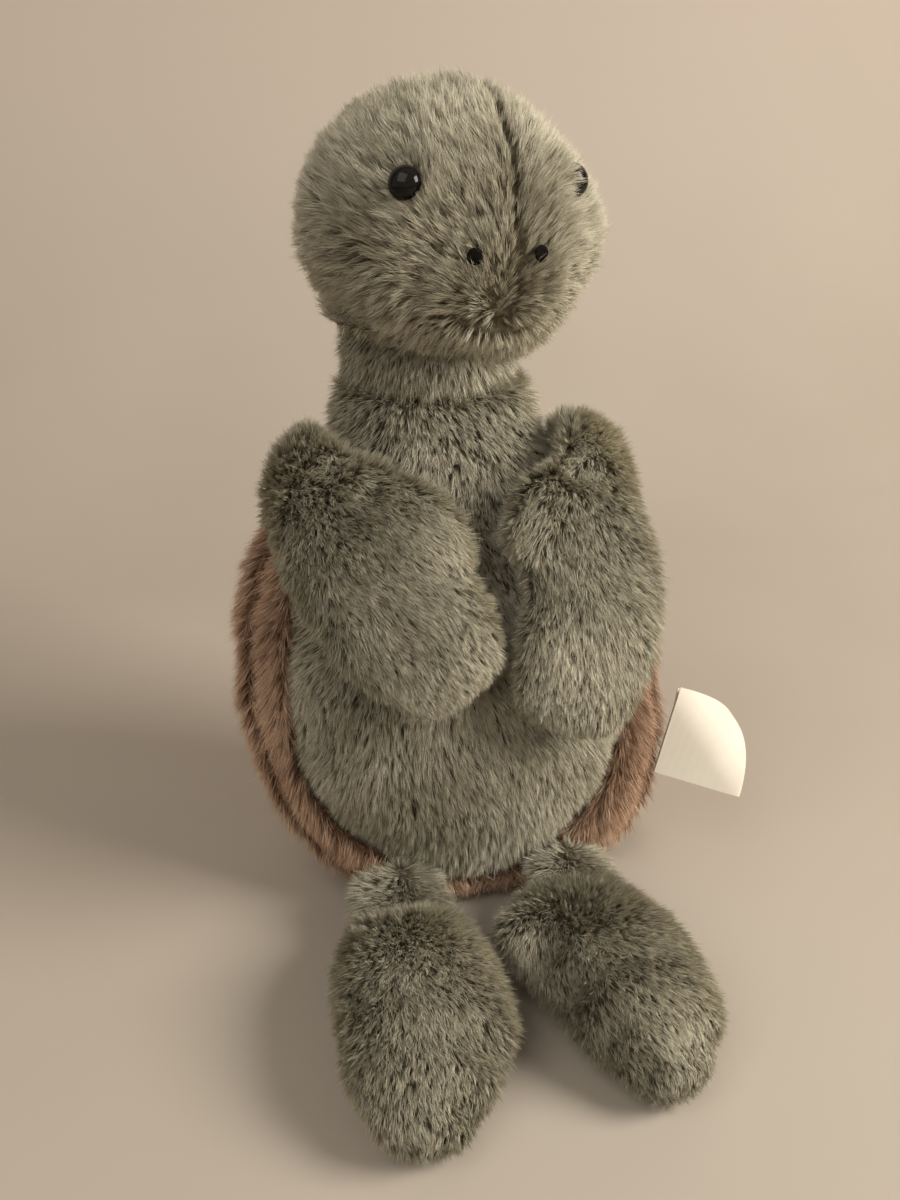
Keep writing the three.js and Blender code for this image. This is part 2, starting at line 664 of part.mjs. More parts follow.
function addShell() {
  const dome = wallBetween(shellGrid(0), shellGrid(SKIN), true);
  const wall = wallBetween(shellGrid(-GAP), shellGrid(SKIN + GAP), true);
  add(torso, 'shell_dome', cut(dome, grownTorso, floorBlock()), rose);
  add(torso, 'shell_rim', cut(rimRoll(0), grownTorso, wall, floorBlock(), ...hollows, ...dents), rose);
  const room = shellRoom(SKIN + SHELL_FILL_GAP);
  add(torso, 'shell_stuffing', cut(room, grownTorso, grownRim, floorBlock(), ...hollows), fibre);
}

// A flipper's two panels and its stuffing
function addFlipper(parent, name, form, tools, panels) {
  const apart = (amount) => (u) => form.frameAt(min(max(u, 0), 1)).rise.multiplyScalar(amount);
  const panel = (from, shift, grown) =>
    coverPanel(form, FLIPPER_ROWS, FLIPPER_COLUMNS, from, apart(shift), grown);
  add(parent, `${name}_${panels[0]}`, cut(panel(0, GAP / 2), ...tools), sage);
  add(parent, `${name}_${panels[1]}`, cut(panel(PI, -GAP / 2), panel(0, GAP / 2, GAP), ...tools), sage);
  const inside = solidForm(form, FLIPPER_ROWS, FLIPPER_COLUMNS / 2, SKIN + FILL_GAP);
  const walls = [panel(0, GAP / 2, GAP), panel(PI, -GAP / 2, GAP)];
  add(parent, `${name}_stuffing`, cut(inside, ...walls, ...tools), fibre);
  const { middle, line } = hingeOf(form);
  parent.userData.hinge = { middle: middle.toArray(), line: line.toArray() };
}

// The neck: a ball cut off at its base, open at its top where it is sewn to the head
function neckMiddle() {
  return vec(NECK_X, NECK_Y, NECK_CENTRE_Z);
}

function ballArc(radius, from, to, steps) {
  return Array.from({ length: steps + 1 }, (_, i) => {
    const height = from + ((to - from) * i) / steps;
    return [sqrt(radius * radius - height * height), height];
  });
}

function addNeck() {
  const base = NECK_BASE_Z - NECK_CENTRE_Z;
  const topOf = (radius) => sqrt(radius * radius - NECK_OPENING_RADIUS * NECK_OPENING_RADIUS);
  const inner = NECK_RADIUS - SKIN;
  const arc = ballArc(NECK_RADIUS, base, topOf(NECK_RADIUS), NECK_STEPS);
  const back = ballArc(inner, base, topOf(inner), NECK_STEPS).reverse();
  const cover = turned([...arc, ...back, arc[0]], neckMiddle(), vec(0, 0, 1), NECK_SIDES);
  add(neck, 'neck_cover', cover, sage);
  const core = inner - FILL_GAP;
  const plug = NECK_OPENING_RADIUS - FILL_GAP;
  const outline = [[0, base], ...ballArc(core, base, sqrt(core * core - plug * plug), NECK_STEPS)];
  const crown = ballArc(NECK_RADIUS, sqrt(NECK_RADIUS * NECK_RADIUS - plug * plug), NECK_RADIUS, PLUG_STEPS);
  neck.userData.hinge = { middle: neckMiddle().toArray(), line: [0, 0, 1] };
  add(neck, 'neck_stuffing', turned([...outline, ...crown], neckMiddle(), vec(0, 0, 1), NECK_SIDES), fibre);
}

// The head, drawn facing -Y about its own middle, then set on the neck
const headPlace = vec(NECK_X + HEAD_SHIFT_X, NECK_Y, HEAD_CENTRE_Z);
const headTurn = new THREE.Euler(rad(HEAD_PITCH_DEG), 0, rad(HEAD_YAW_DEG), 'ZYX');

function headForm() {
  const rows = headShares.map(([forward, half, lift, above, below]) => [
    0, -forward * HEAD_LENGTH, lift * HEAD_HEIGHT,
    half * HEAD_WIDTH, half * HEAD_WIDTH, above * HEAD_HEIGHT, below * HEAD_HEIGHT,
  ]);
  return stuffedForm(rows, () => vec(0, 0, 1), [HEAD_BACK_CAP, SNOUT_CAP]);
}

// A place on the head and the direction straight out of it
function headPlaceAt(form, share, angleDeg, side) {
  const angle = side > 0 ? PI - rad(angleDeg) : rad(angleDeg);
  const point = form.point(share, angle);
  return { point, out: normalOf(form.point, share, angle, vec(0, point.y, 0)) };
}

function addHead() {
  const form = headForm();
  const socket = new THREE.SphereGeometry(NECK_RADIUS + 2 * GAP, NECK_SIDES, NECK_SIDES / 2).rotateX(PI / 2);
  const middle = neckMiddle().sub(headPlace).applyEuler(new THREE.Euler(0, 0, -rad(HEAD_YAW_DEG)));
  middle.applyEuler(new THREE.Euler(-rad(HEAD_PITCH_DEG), 0, 0));
  socket.translate(middle.x, middle.y, middle.z);

  const eyes = Object.entries(SIDES).map(([name, side]) => ({
    name, ...headPlaceAt(form, EYE_SHARE, EYE_ANGLE_DEG, side),
  }));
  const nostrils = Object.entries(SIDES).map(([name, side]) => ({
    name, ...headPlaceAt(form, NOSTRIL_SHARE, NOSTRIL_ANGLE_DEG, side),
  }));
  const washerDepth = SKIN + WASHER_SEAT;
  const tools = [socket];
  eyes.forEach(({ point, out }) => {
    tools.push(peg(EYE_RADIUS + GAP, point, out, -EYE_SEAT, OVERRUN));
    tools.push(peg(EYE_STEM_RADIUS + GAP, point, out, -EYE_STEM_LENGTH - GAP, OVERRUN));
  });
  nostrils.forEach(({ point, out }) => {
    tools.push(peg(NOSTRIL_RADIUS + GAP, point, out, -EYE_SEAT, OVERRUN));
  });
  const pockets = eyes.map(({ point, out }) =>
    peg(WASHER_RADIUS + GAP, point, out, -washerDepth - WASHER_THICKNESS - GAP, 0));

  const outer = solidForm(form, HEAD_ROWS, HEAD_COLUMNS, 0);
  const skin = cut(outer, solidForm(form, HEAD_ROWS, HEAD_COLUMNS, SKIN), ...tools);
  const chinRoom = (apart) => {
    const wide = HEAD_LENGTH + OVERRUN;
    const room = block(vec(-wide, -wide, -wide), vec(wide, wide, apart - CHIN_SEAM_DROP));
    return room.rotateX(rad(CHIN_SEAM_TILT_DEG));
  };
  const wide = HEAD_LENGTH + OVERRUN;
  const half = (side) => (side > 0
    ? block(vec(GAP / 2, -wide, -wide), vec(wide, wide, wide))
    : block(vec(-wide, -wide, -wide), vec(-GAP / 2, wide, wide)));
  Object.entries(SIDES).forEach(([name, side]) => {
    add(head, `head_panel_${name}`, cut(keep(skin, half(side)), chinRoom(GAP / 2)), sage);
  });
  add(head, 'chin_panel', keep(skin, chinRoom(-GAP / 2)), sage);
  const inside = solidForm(form, HEAD_ROWS, HEAD_COLUMNS / 2, SKIN + FILL_GAP);
  add(head, 'head_stuffing', cut(inside, ...tools, ...pockets), fibre);
  eyes.forEach(({ name, point, out }) => addEye(name, point, out, washerDepth));
  nostrils.forEach(({ name, point, out }) => {
    const shoulder = [NOSTRIL_RADIUS * cos(PI / 4), NOSTRIL_RISE * sin(PI / 4)];
    const lens = [[0, 0], [NOSTRIL_RADIUS, 0], shoulder, [0, NOSTRIL_RISE]];
    const seat = point.clone().addScaledVector(out, GAP - EYE_SEAT);
    add(head, `nostril_${name}`, turned(lens, seat, out), thread);
  });
  head.position.copy(headPlace);
  head.rotation.copy(headTurn);
  const line = vec(cos(rad(HEAD_YAW_DEG)), sin(rad(HEAD_YAW_DEG)), 0);
  head.userData.hinge = { middle: neckMiddle().toArray(), line: line.toArray() };
}

function addEye(name, point, out, washerDepth) {
  const seat = GAP - EYE_SEAT;
  const stemRing = [[EYE_STEM_RADIUS, -EYE_STEM_LENGTH], [EYE_STEM_RADIUS, seat]];
  const dome = Array.from({ length: EYE_STEPS + 1 }, (_, i) => {
    const turn = (PI / 2) * (i / EYE_STEPS);
    return [EYE_RADIUS * cos(turn), seat + EYE_RISE * sin(turn)];
  });
  dome[EYE_STEPS][0] = 0;
  add(head, `eye_${name}`, turned([[0, -EYE_STEM_LENGTH], ...stemRing, ...dome], point, out), black);
  const hole = EYE_STEM_RADIUS + GAP / 2;
  const front = -washerDepth;
  const back = front - WASHER_THICKNESS;
  const ring = [[hole, back], [WASHER_RADIUS, back], [WASHER_RADIUS, front], [hole, front], [hole, back]];
  add(head, `eye_washer_${name}`, turned(ring, point, out), white);
}

// Rolls the label's free upper corner back, round an axis across its diagonal
function rollCorner(geometry) {
  const place = geometry.attributes.position;
  const [across, up] = [cos(rad(LABEL_ROLL_DEG)), sin(rad(LABEL_ROLL_DEG))];
  const start = LABEL_REACH * across + LABEL_WIDTH * up - LABEL_ROLL_REACH;
  for (let i = 0; i < place.count; i += 1) {
    const [x, y, z] = [place.getX(i), place.getY(i), place.getZ(i)];
    const past = max(x * across + z * up - start, 0);
    const turn = past / LABEL_ROLL_RADIUS;
    const arm = LABEL_ROLL_RADIUS - y;
    const shift = arm * sin(turn) - past;
    place.setXYZ(i, x + shift * across, LABEL_ROLL_RADIUS - arm * cos(turn), z + shift * up);
  }
  return geometry;
}

// The folded label, sewn in at the shell's left edge
function addLabel() {
  const outside = LABEL_FOLD + LABEL_THICKNESS;
  const straight = LABEL_REACH - outside;
  const places = Array.from({ length: LABEL_STEPS }, (_, i) => (straight * i) / LABEL_STEPS);
  const outline = new THREE.Shape();
  const leaf = (along, y) => along.forEach((x) => outline.lineTo(x, y));
  outline.moveTo(0, -outside);
  leaf(places.slice(1), -outside);
  outline.absarc(straight, 0, outside, -PI / 2, PI / 2, false);
  leaf([...places].reverse(), outside);
  leaf(places, LABEL_FOLD);
  outline.absarc(straight, 0, LABEL_FOLD, PI / 2, -PI / 2, true);
  leaf([...places].reverse(), -LABEL_FOLD);
  outline.closePath();
  const sweep = { depth: LABEL_WIDTH, steps: LABEL_STEPS, bevelEnabled: false, curveSegments: FOLD_STEPS };
  const geometry = rollCorner(new THREE.ExtrudeGeometry(outline, sweep));
  geometry.translate(0, 0, -LABEL_WIDTH / 2);
  geometry.rotateZ(rad(LABEL_TURN_DEG)).rotateY(rad(LABEL_DROOP_DEG)).rotateX(-rad(LEAN_DEG));
  const up = (LABEL_Z - bodyOrigin.z) / bodyUp.z;
  const ratio = (SHELL_MIDDLE - up) / (SHELL_HEIGHT / 2);
  const wide = (SHELL_WIDTH / 2) * pow(1 - pow(ratio, LOW_EDGE_POWERS.left), 1 / LOW_EDGE_POWERS.left);
  const edge = bodyPoint(wide + LABEL_SEAT, up, SHELL_LIP / 2);
  geometry.translate(edge.x, edge.y, edge.z);
  add(torso, 'label', geometry, white);
}

addTorso();
addShell();
addLabel();
addNeck();
addHead();

Object.keys(SIDES).forEach((name) => {
  const arm = new THREE.Group();
  const leg = new THREE.Group();
  const legTools = [grownTorso, grownRim, floorBlock()];
  group.add(arm, leg);
  addFlipper(arm, `arm_${name}`, arms[name], [grownTorso], ['outer_panel', 'inner_panel']);
  addFlipper(leg, `leg_${name}`, legs[name], legTools, ['top_panel', 'sole_panel']);
});

export default group;
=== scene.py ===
"""Looks of a sitting plush turtle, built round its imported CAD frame.

Lengths inside the functions are in millimetres until a mesh is made, which is in metres. The
settings and the stage are in metres.
"""

import json
import math

import bmesh
import bpy
import numpy as np
from mathutils import Euler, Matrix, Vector


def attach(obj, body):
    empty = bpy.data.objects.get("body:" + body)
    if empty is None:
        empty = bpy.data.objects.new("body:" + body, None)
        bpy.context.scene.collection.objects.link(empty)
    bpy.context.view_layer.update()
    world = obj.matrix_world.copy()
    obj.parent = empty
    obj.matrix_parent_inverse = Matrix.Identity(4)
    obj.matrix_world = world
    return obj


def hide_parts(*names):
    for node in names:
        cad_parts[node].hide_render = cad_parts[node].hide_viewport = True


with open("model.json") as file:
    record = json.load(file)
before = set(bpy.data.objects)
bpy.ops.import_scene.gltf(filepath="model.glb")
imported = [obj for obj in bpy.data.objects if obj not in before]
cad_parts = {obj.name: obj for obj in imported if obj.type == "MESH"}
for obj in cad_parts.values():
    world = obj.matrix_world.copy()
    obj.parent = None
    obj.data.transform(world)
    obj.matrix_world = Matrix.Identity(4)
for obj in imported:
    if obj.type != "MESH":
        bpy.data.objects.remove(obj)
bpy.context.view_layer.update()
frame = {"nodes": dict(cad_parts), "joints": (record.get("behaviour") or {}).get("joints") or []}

bl_info = {
    "name": "Plush turtle",
    "version": (1, 0, 0),
    "blender": (4, 5, 0),
    "location": "View3D > Sidebar > Turtle",
    "description": "Builds the pile, eyes, label and studio of a sitting plush turtle",
    "category": "Object",
}

MM = 0.001
COLLECTION = "Turtle"
TURN = 2 * math.pi
UP = np.array([0.0, 0.0, 1.0])
SIDES = ("right", "left")

# The leaning body: where its line starts, the way it rises and the way it faces
LEAN = math.radians(15)
LIST = math.radians(2.5)
BODY_START = np.array([0.0, -20.0, 0.0])
BODY_UP = np.array([-math.sin(LIST), math.sin(LEAN), math.cos(LEAN)])
BODY_UP /= np.linalg.norm(BODY_UP)
BODY_FRONT = np.array([0.0, -math.cos(LEAN), math.sin(LEAN)])

# The chest swells out under the neck from this height up the body
COLLAR = 1.2
COLLAR_UP = 146.0
COLLAR_FADE = 10.0

# The belly's pile spreads sideways, and the back has pile only over this height
BELLY_SPREAD = 160.0
BELLY_BACK = -2.0
BARE_BACK_UP = 132.0

# The shell's pile fans out from this height up the body, and its flat front is bare
SHELL_MIDDLE_UP = 76.0
SHELL_FAN = 0.5
SHELL_FLAT = 0.75

# The neck, and the skirt of longer pile over its base
NECK_MIDDLE = np.array([-7.0, 22.5, 168.0])
NECK_RADIUS = 25.0
NECK_ROOM = 2.0
NECK_LEVEL = 0.85
NECK_BASE = 160.0
NECK_SKIRT = 0.7
NECK_SKIRT_SIZE = 5.0

# The head's own frame, and where its seams meet at the mouth
HEAD_MIDDLE = np.array([-1.0, 22.5, 202.0])
HEAD_YAW = math.radians(9)
HEAD_ACROSS = np.array([math.cos(HEAD_YAW), math.sin(HEAD_YAW), 0.0])
HEAD_FRONT = np.array([math.sin(HEAD_YAW), -math.cos(HEAD_YAW), 0.0])
MOUTH_UP = -21.0
MOUTH = HEAD_MIDDLE + HEAD_FRONT * 38 + UP * MOUTH_UP

# The crown's seam: its two drifts to the left as it climbs, its waver, its groove and its parting
NOSE_DRIFT = 3.2
NOSE_FADE = 8.0
CROWN_DRIFT = 4.0
CROWN_UP = 8.0
CROWN_FADE = 30.0
WAVER = 0.5
WAVER_UP = 5.3
WAVER_FORWARD = 7.1
SEAM_GROOVE = 1.5
SEAM_FADE = 4.0
SEAM_WIDE = 1.3
SEAM_NARROW = 0.5
SEAM_TAPER = 50.0

# The mouth's crease: how it curves and slants, its groove and its parting
LIP_CURVE = 60.0
LIP_SLANT = 0.15
LIP_GROOVE = 1.6
LIP_HALF = 14.0
LIP_FORWARD = 10.0
LIP_DEPTH = 1.3
LIP_PART = 1.5
LIP_PART_HALF = 11.0

# For each eye, the ridge beside it as a share of the brow's height, and the rise of its socket
BROWS = {"right": (0.8, -0.8), "left": (2.1, 0.3)}
RIDGE_AWAY = 5.5
RIDGE_RISE = 1.5
RIDGE_SIZE = 4.5
SOCKET_SIZE = 5.5
NOSTRIL_BARE = 1.8

# How the head's pile is combed: out from the mouth, off the seam and near eye, down the chin and back
SOURCE_FRONT = 6.0
PART_COMB = 0.5
PART_SIZE = 6.0
CHIN_COMB = 0.7
CHIN_FADE = 3.0
BACK_START = 6.0
BACK_FADE = 16.0
EYE_COMB = 1.1
EYE_COMB_SIZE = 8.0

# Longer pile falls over the far eye from its ridge, and is short round the eyes and on the muzzle
FALL_COMB = 2.5
FALL_SIZE = 9.0
FALL_FADE = 2.0
FALL_LONG = 1.35
EYE_SHORT = 0.55
EYE_SHORT_FADE = 8.0
MUZZLE_SHORT = 0.72
MUZZLE_FADE = 90.0

# Soft mounds and hollows of the stuffed head: place in its own frame, size and height
HEAD_MOUNDS = (
    ((-34, 10, -22), 13, -2.5), ((-33, -12, -22), 15, -4.5), ((-27, -24, -26), 12, -3.5),
    ((36, 6, -24), 15, -2.5), ((30, 0, 30), 15, -2.5), ((29, 13, 28), 14, -4.0),
    ((-30, -4, 26), 15, 1.0), ((-20, 24, -8), 9, 1.2), ((10, 34, 4), 9, 0.8),
)

# The same for each flipper, with places in the frame
FLIPPER_MOUNDS = {
    "arm_right": (
        ((-38, -16, 149), 4.5, -3.8), ((-31, -24, 145), 4.5, -3.4), ((-23, -29, 142), 4, -2.0),
        ((-17, -30, 138), 7, 2.4), ((-6, -38, 123), 6, -2.8),
    ),
    "arm_left": (
        ((27, -22, 144), 5, -3.8), ((22, -30, 136), 4.5, -3.2), ((17, -33, 127), 4, -2.4),
        ((13, -27, 139), 7, 2.0), ((8, -25, 128), 8, 3.2), ((9, -38, 112), 6, -1.6),
    ),
    "leg_right": (
        ((-42, -38, 17), 9, 4.0), ((-29, -50, 25), 7, -3.0), ((-14, -100, 20), 9, -3.0),
        ((-22, -112, 16), 7, -3.6),
    ),
    "leg_left": (
        ((13, -40, 18), 8, 2.6), ((1, -65, 22), 7, 4.4), ((7, -75, 25), 5, -3.6),
        ((9, -87, 21), 5, -3.4), ((15, -102, 21), 5, -3.8), ((21, -112, 17), 5, -3.2),
        ((36, -117, 15), 12, -3.0), ((46, -104, 18), 12, -2.4),
    ),
}

# A flipper's pile is left off its sole, and is shorter at its tip and in its folds
SOLE_HEIGHT = 1.5
SOLE_SLOPE = -0.5
TIP_SHORT = 0.25
TIP_SHARE = 0.8
TIP_FADE = 12.0
FOLD_SHORT = 0.4
FOLD_DEPTH = 4.0

# Smooth noise: how many waves it sums, what brings the sum to about 1, and how their sizes vary
WAVE_COUNT = 7
WAVE_LEVEL = 2.6
WAVE_RANGE = (0.6, 1.5)

# Its uses: weight, size of features, and what is added to the piece's seed
STRAY_WAVES = (0.8, 30.0, 1)
CURL_WAVES = (0.5, 9.0, 2)
LIFT_WAVES = (0.25, 14.0, 3)
TINT_WAVES = (0.16, 22.0, 4)
LUMP_WAVES = (1.0, 16.0, 5)

# How clumps and the strands in them differ by chance
CLUMP_STRAY = 0.5
CLUMP_LIFT = 0.22
LOWEST_LIFT = math.radians(8)
HIGHEST_LIFT = math.radians(80)
CLUMP_LENGTH = 0.1
TINT_MIDDLE = 0.5
CLUMP_TINT = 0.2
LENGTH_RANGE = (0.7, 1.12)
WIDTH_RANGE = (0.8, 1.2)
STRAND_BEND = 0.13
STRAND_LIFT = 0.09
STRAND_TINT = 0.12
TINT_RANGE = (0.03, 0.97)
ROLL = 1.4
ROUNDNESS = 0.15  # how far a blade is shaded as its backing is
FLOOR_CLEAR = 0.3  # of the lowest tips
ROOT_SINK = 0.5  # of a strand's root into the backing

# A blade's place in its map: tint across, and root to tip along
STRAND_MAP = "OFBake"
TINT_HALF = 0.02
ROOT_ALONG = 0.01
TIP_ALONG = 0.99

# The colour of a strand: how far its tint shifts its dark root, painted shade between the strands, and where
# that painted shade ends
ROOT_SHADE_SHIFT = 0.2
ROOT_SHADE_END = 0.75
# The backing is painted this much darker than the roots, as shade deep between the strands
BACKING_SHADE = 0.45

SHARP = math.radians(40)
RIB_HEIGHT = 0.08  # of a nostril's stitches
DOME_STEPS = 16

# The share of an eye's radius that counts as widest, and its stem's end
WIDEST = 0.99
STEM_DEPTH = 0.1

# The label's sewn edge, and the steps along a leaf and round its fold
LABEL_EDGE = np.array([65.4, -10.8, 47.9])
LABEL_STEPS = 24
FOLD_STEPS = 12

# The sweep of floor and backdrop, and where it fades into the room
FLOOR_FRONT = -2.2
BEND_START = 0.25
BEND_RADIUS = 0.35
BEND_STEPS = 12
BEND_FIRST = 0.15
WALL_TOP = 2.6
SWEEP_HALF = 3.0
FADE_START = 0.95
FADE_END = 1.9

CLIP_START = 0.01
LIGHT_AIM = Vector((0, 0, 0.11))
SKYLIGHT = (1.0, 0.91, 0.78, 1.0)
BLACK = (0.0, 0.0, 0.0, 1.0)


# Properties


def rgb(red, green, blue):
    """A linear colour from one given as a screen shows it, 0 to 255."""
    shown = [value / 255 for value in (red, green, blue)]
    return (*(((c + 0.055) / 1.055) ** 2.4 if c > 0.04 else c / 12.92 for c in shown), 1.0)


def kind_of(make, **fixed):
    """A function that makes properties of one kind from a name, a description and a default."""
    return lambda name, about, default: make(name=name, description=about, default=default, **fixed)


count = kind_of(bpy.props.IntProperty, min=1)
length = kind_of(bpy.props.FloatProperty, min=0.0, unit="LENGTH", subtype="DISTANCE")
share = kind_of(bpy.props.FloatProperty, min=0.0, max=2.0, subtype="FACTOR")
power = kind_of(bpy.props.FloatProperty, min=0.0, unit="POWER")
radians = kind_of(bpy.props.FloatProperty, unit="ROTATION", subtype="ANGLE")
linear = kind_of(bpy.props.FloatVectorProperty, size=4, min=0.0, max=1.0, subtype="COLOR")


def angle(name, about, degrees):
    return radians(name, about, math.radians(degrees))


def colour(name, about, *shown):
    return linear(name, about, rgb(*shown))


def group(settings, name, about):
    return bpy.props.PointerProperty(type=settings, name=name, description=about)


class ColourSettings(bpy.types.PropertyGroup):
    """The colours of the two kinds of plush, the label and the stage."""

    # Each root colour is painted shade: darker than its strands, for the shadow down between them
    sage_root: colour("Sage root", "Grey-green pile at its root", 108, 100, 82)
    sage_dark: colour("Sage dark", "Grey-green pile, darkest strands", 166, 160, 139)
    sage_light: colour("Sage light", "Grey-green pile, lightest strands", 222, 216, 196)
    # The rose root is painted shade in the same way, for the shadow down between the strands
    rose_root: colour("Rose root", "Pink-brown pile at its root", 128, 98, 76)
    rose_dark: colour("Rose dark", "Pink-brown pile, darkest strands", 180, 146, 120)
    rose_light: colour("Rose light", "Pink-brown pile, lightest strands", 226, 196, 170)
    label_dark: colour("Label dark", "The label between its threads", 232, 224, 208)
    label_light: colour("Label light", "The label's threads", 246, 240, 228)
    floor_dark: colour("Floor dark", "Darker patches of the floor", 186, 175, 162)
    floor_light: colour("Floor light", "Lighter patches of the floor", 192, 182, 169)
    wall: colour("Wall", "The backdrop over the floor", 200, 188, 176)
    room: colour("Room", "What is seen past the backdrop", 205, 186, 165)


class PileSettings:
    """What every piece with pile has."""

    voxel: length("Voxel", "Size of the remesh that joins the solids", 0.0018)
    inset: length("Inset", "Depth of the backing inside the solid", 0.0016)
    ease: count("Ease", "Smoothing steps after the remesh", 8)
    lumps: length("Lumps", "Height of the stuffing's soft lumps", 0.0005)
    pile: length("Pile", "Length of a strand", 0.0056)
    width: length("Strand width", "Width of a strand at its root", 0.00034)
    clump: length("Clump radius", "Radius of a clump at its root", 0.00075)
    strands: count("Strands", "Strands in the piece", 100000)
    per_clump: count("Per clump", "Strands in one clump", 9)
    gather: share("Gather", "How far a clump's tips draw together", 0.8)
    lift: angle("Lift", "Angle of a strand from the backing", 38)
    swirl: angle("Swirl", "How far locks stray from their combing", 16)
    seed: count("Seed", "Seed of this piece's random numbers", 1)


class HeadSettings(PileSettings, bpy.types.PropertyGroup):
    """The head's pile, its seams and its brows."""

    inset: length("Inset", "Depth of the backing inside the solid", 0.0014)
    pile: length("Pile", "Length of a strand", 0.006)
    lift: angle("Lift", "Angle of a strand from the backing", 27)
    clump: length("Clump radius", "Radius of a clump at its root", 0.0009)
    per_clump: count("Per clump", "Strands in one clump", 13)
    gather: share("Gather", "How far a clump's tips draw together", 0.95)
    strands: count("Strands", "Strands in the piece", 190000)
    seam: length("Seam", "Half width of the parting over the crown", 0.001)
    seam_depth: length("Seam depth", "Depth of the groove along a seam", 0.0022)
    eye_gap: length("Eye gap", "Bare ring between an eye and the pile", 0.0001)
    brow: length("Brow", "Height of the ridge beside an eye", 0.0022)


class NeckSettings(PileSettings, bpy.types.PropertyGroup):
    """The neck's pile."""

    strands: count("Strands", "Strands in the piece", 45000)


class BodySettings(PileSettings, bpy.types.PropertyGroup):
    """The belly's pile."""

    strands: count("Strands", "Strands in the piece", 190000)


class ShellSettings(PileSettings, bpy.types.PropertyGroup):
    """The shell's pile."""

    pile: length("Pile", "Length of a strand", 0.0075)
    clump: length("Clump radius", "Radius of a clump at its root", 0.0011)
    lift: angle("Lift", "Angle of a strand from the backing", 28)
    strands: count("Strands", "Strands in the dome", 160000)
    rim_strands: count("Rim strands", "Strands in the rim", 70000)


class FlipperSettings(PileSettings, bpy.types.PropertyGroup):
    """The pile of an arm or a leg."""

    inset: length("Inset", "Depth of the backing inside the solid", 0.002)
    ease: count("Ease", "Smoothing steps after the remesh", 6)
    lift: angle("Lift", "Angle of a strand from the backing", 36)
    strands: count("Strands", "Strands in one flipper", 100000)


class FittingSettings(bpy.types.PropertyGroup):
    """The folded label and the stitches of the nostrils."""

    label_width: length("Label width", "Width of the label along its sewn edge", 0.029)
    label_reach: length("Label reach", "Distance from the sewn edge to the fold", 0.029)
    label_thickness: length("Label thickness", "Thickness of the ribbon", 0.0004)
    label_fold: length("Label fold", "Half the space between the two leaves", 0.0008)
    label_turn: angle("Label turn", "Turn of the label backwards from the shell's side", -16)
    label_droop: angle("Label droop", "Turn of the label down from level", 19)
    roll: angle("Roll", "Direction of the rolled corner, from the reach to the width", 50)
    roll_start: length("Roll start", "Distance from the corner to where its roll starts", 0.0245)
    roll_radius: length("Roll radius", "Radius of the rolled corner", 0.0145)
    stitch: length("Stitch", "Width of one stitch of a nostril", 0.0004)


class StageSettings(bpy.types.PropertyGroup):
    """Camera and lights."""

    lens: bpy.props.FloatProperty(
        name="Lens", description="Focal length of the camera", default=31.17, min=1.0, unit="CAMERA"
    )
    camera: bpy.props.FloatVectorProperty(
        name="Camera", description="Its place", default=(-0.060, -0.283, 0.2306), unit="LENGTH", subtype="XYZ"
    )
    azimuth: angle("Azimuth", "Direction that it faces, round the upright", -11)
    pitch: angle("Pitch", "How far the camera looks down", 25)
    key: power("Key light", "Power of the key light", 14.6)
    fill: power("Fill light", "Power of the fill light", 4.2)
    ambient: share("Ambient", "Strength of the world's light", 0.23)


class TurtleSettings(bpy.types.PropertyGroup):
    """Everything that the panel shows."""

    colours: group(ColourSettings, "Colours", "Plush, label and stage")
    head: group(HeadSettings, "Head", "Head pile")
    neck: group(NeckSettings, "Neck", "Neck pile")
    body: group(BodySettings, "Body", "Belly pile")
    shell: group(ShellSettings, "Shell", "Shell pile")
    flipper: group(FlipperSettings, "Flippers", "Flipper pile")
    fittings: group(FittingSettings, "Fittings", "Label and nostrils")
    stage: group(StageSettings, "Stage", "Camera and lights")


# Shaders


class Socket:
    """One output of a shader node, with arithmetic that adds nodes after it."""

    def __init__(self, tree, output):
        self.tree = tree
        self.output = output

    def node(self, kind, inputs, out=0, **settings):
        """Adds a node of this kind and returns one of its outputs."""
        made = self.tree.nodes.new(kind)
        for key, value in settings.items():
            setattr(made, key, value)
        for key, value in inputs.items():
            if isinstance(value, Socket):
                self.tree.links.new(value.output, made.inputs[key])
            else:
                made.inputs[key].default_value = value
        return Socket(self.tree, made.outputs[out])

    def math(self, operation, *values):
        return self.node("ShaderNodeMath", dict(enumerate(values)), operation=operation)

    def __add__(self, other):
        return self.math("ADD", self, other)

    def __radd__(self, other):
        return self.math("ADD", other, self)

    def __sub__(self, other):
        return self.math("SUBTRACT", self, other)

    def __rsub__(self, other):
        return self.math("SUBTRACT", other, self)

    def __mul__(self, other):
        return self.math("MULTIPLY", self, other)

    def __rmul__(self, other):
        return self.math("MULTIPLY", other, self)

    def smooth(self, low, high):
        """0 below low, 1 above high, and an eased step between them."""
        inputs = {"Value": self, "From Min": low, "From Max": high}
        return self.node("ShaderNodeMapRange", inputs, interpolation_type="SMOOTHSTEP")

    def mix(self, low, high):
        """The colour low where this is 0 and high where it is 1."""
        return self.node("ShaderNodeMix", {0: self, 6: low, 7: high}, out=2, data_type="RGBA")


def new_material(name, **constants):
    """A material with its Principled node's constants set, and a Socket to build on."""
    material = bpy.data.materials.new(name)
    material.use_nodes = True
    tree = material.node_tree
    shader = tree.nodes["Principled BSDF"]
    for key, value in constants.items():
        shader.inputs[key.replace("_", " ")].default_value = value
    start = Socket(tree, tree.nodes.new("ShaderNodeTexCoord").outputs["Object"])
    return material, start, shader


def feed(source, shader, name):
    source.tree.links.new(source.output, shader.inputs[name])


def texture(start, kind, scale, **more):
    return start.node(f"ShaderNodeTex{kind}", {"Vector": start, "Scale": scale, **more})


def roughen(height, shader, strength, distance):
    bump = height.node("ShaderNodeBump", {"Height": height, "Strength": strength, "Distance": distance})
    feed(bump, shader, "Normal")


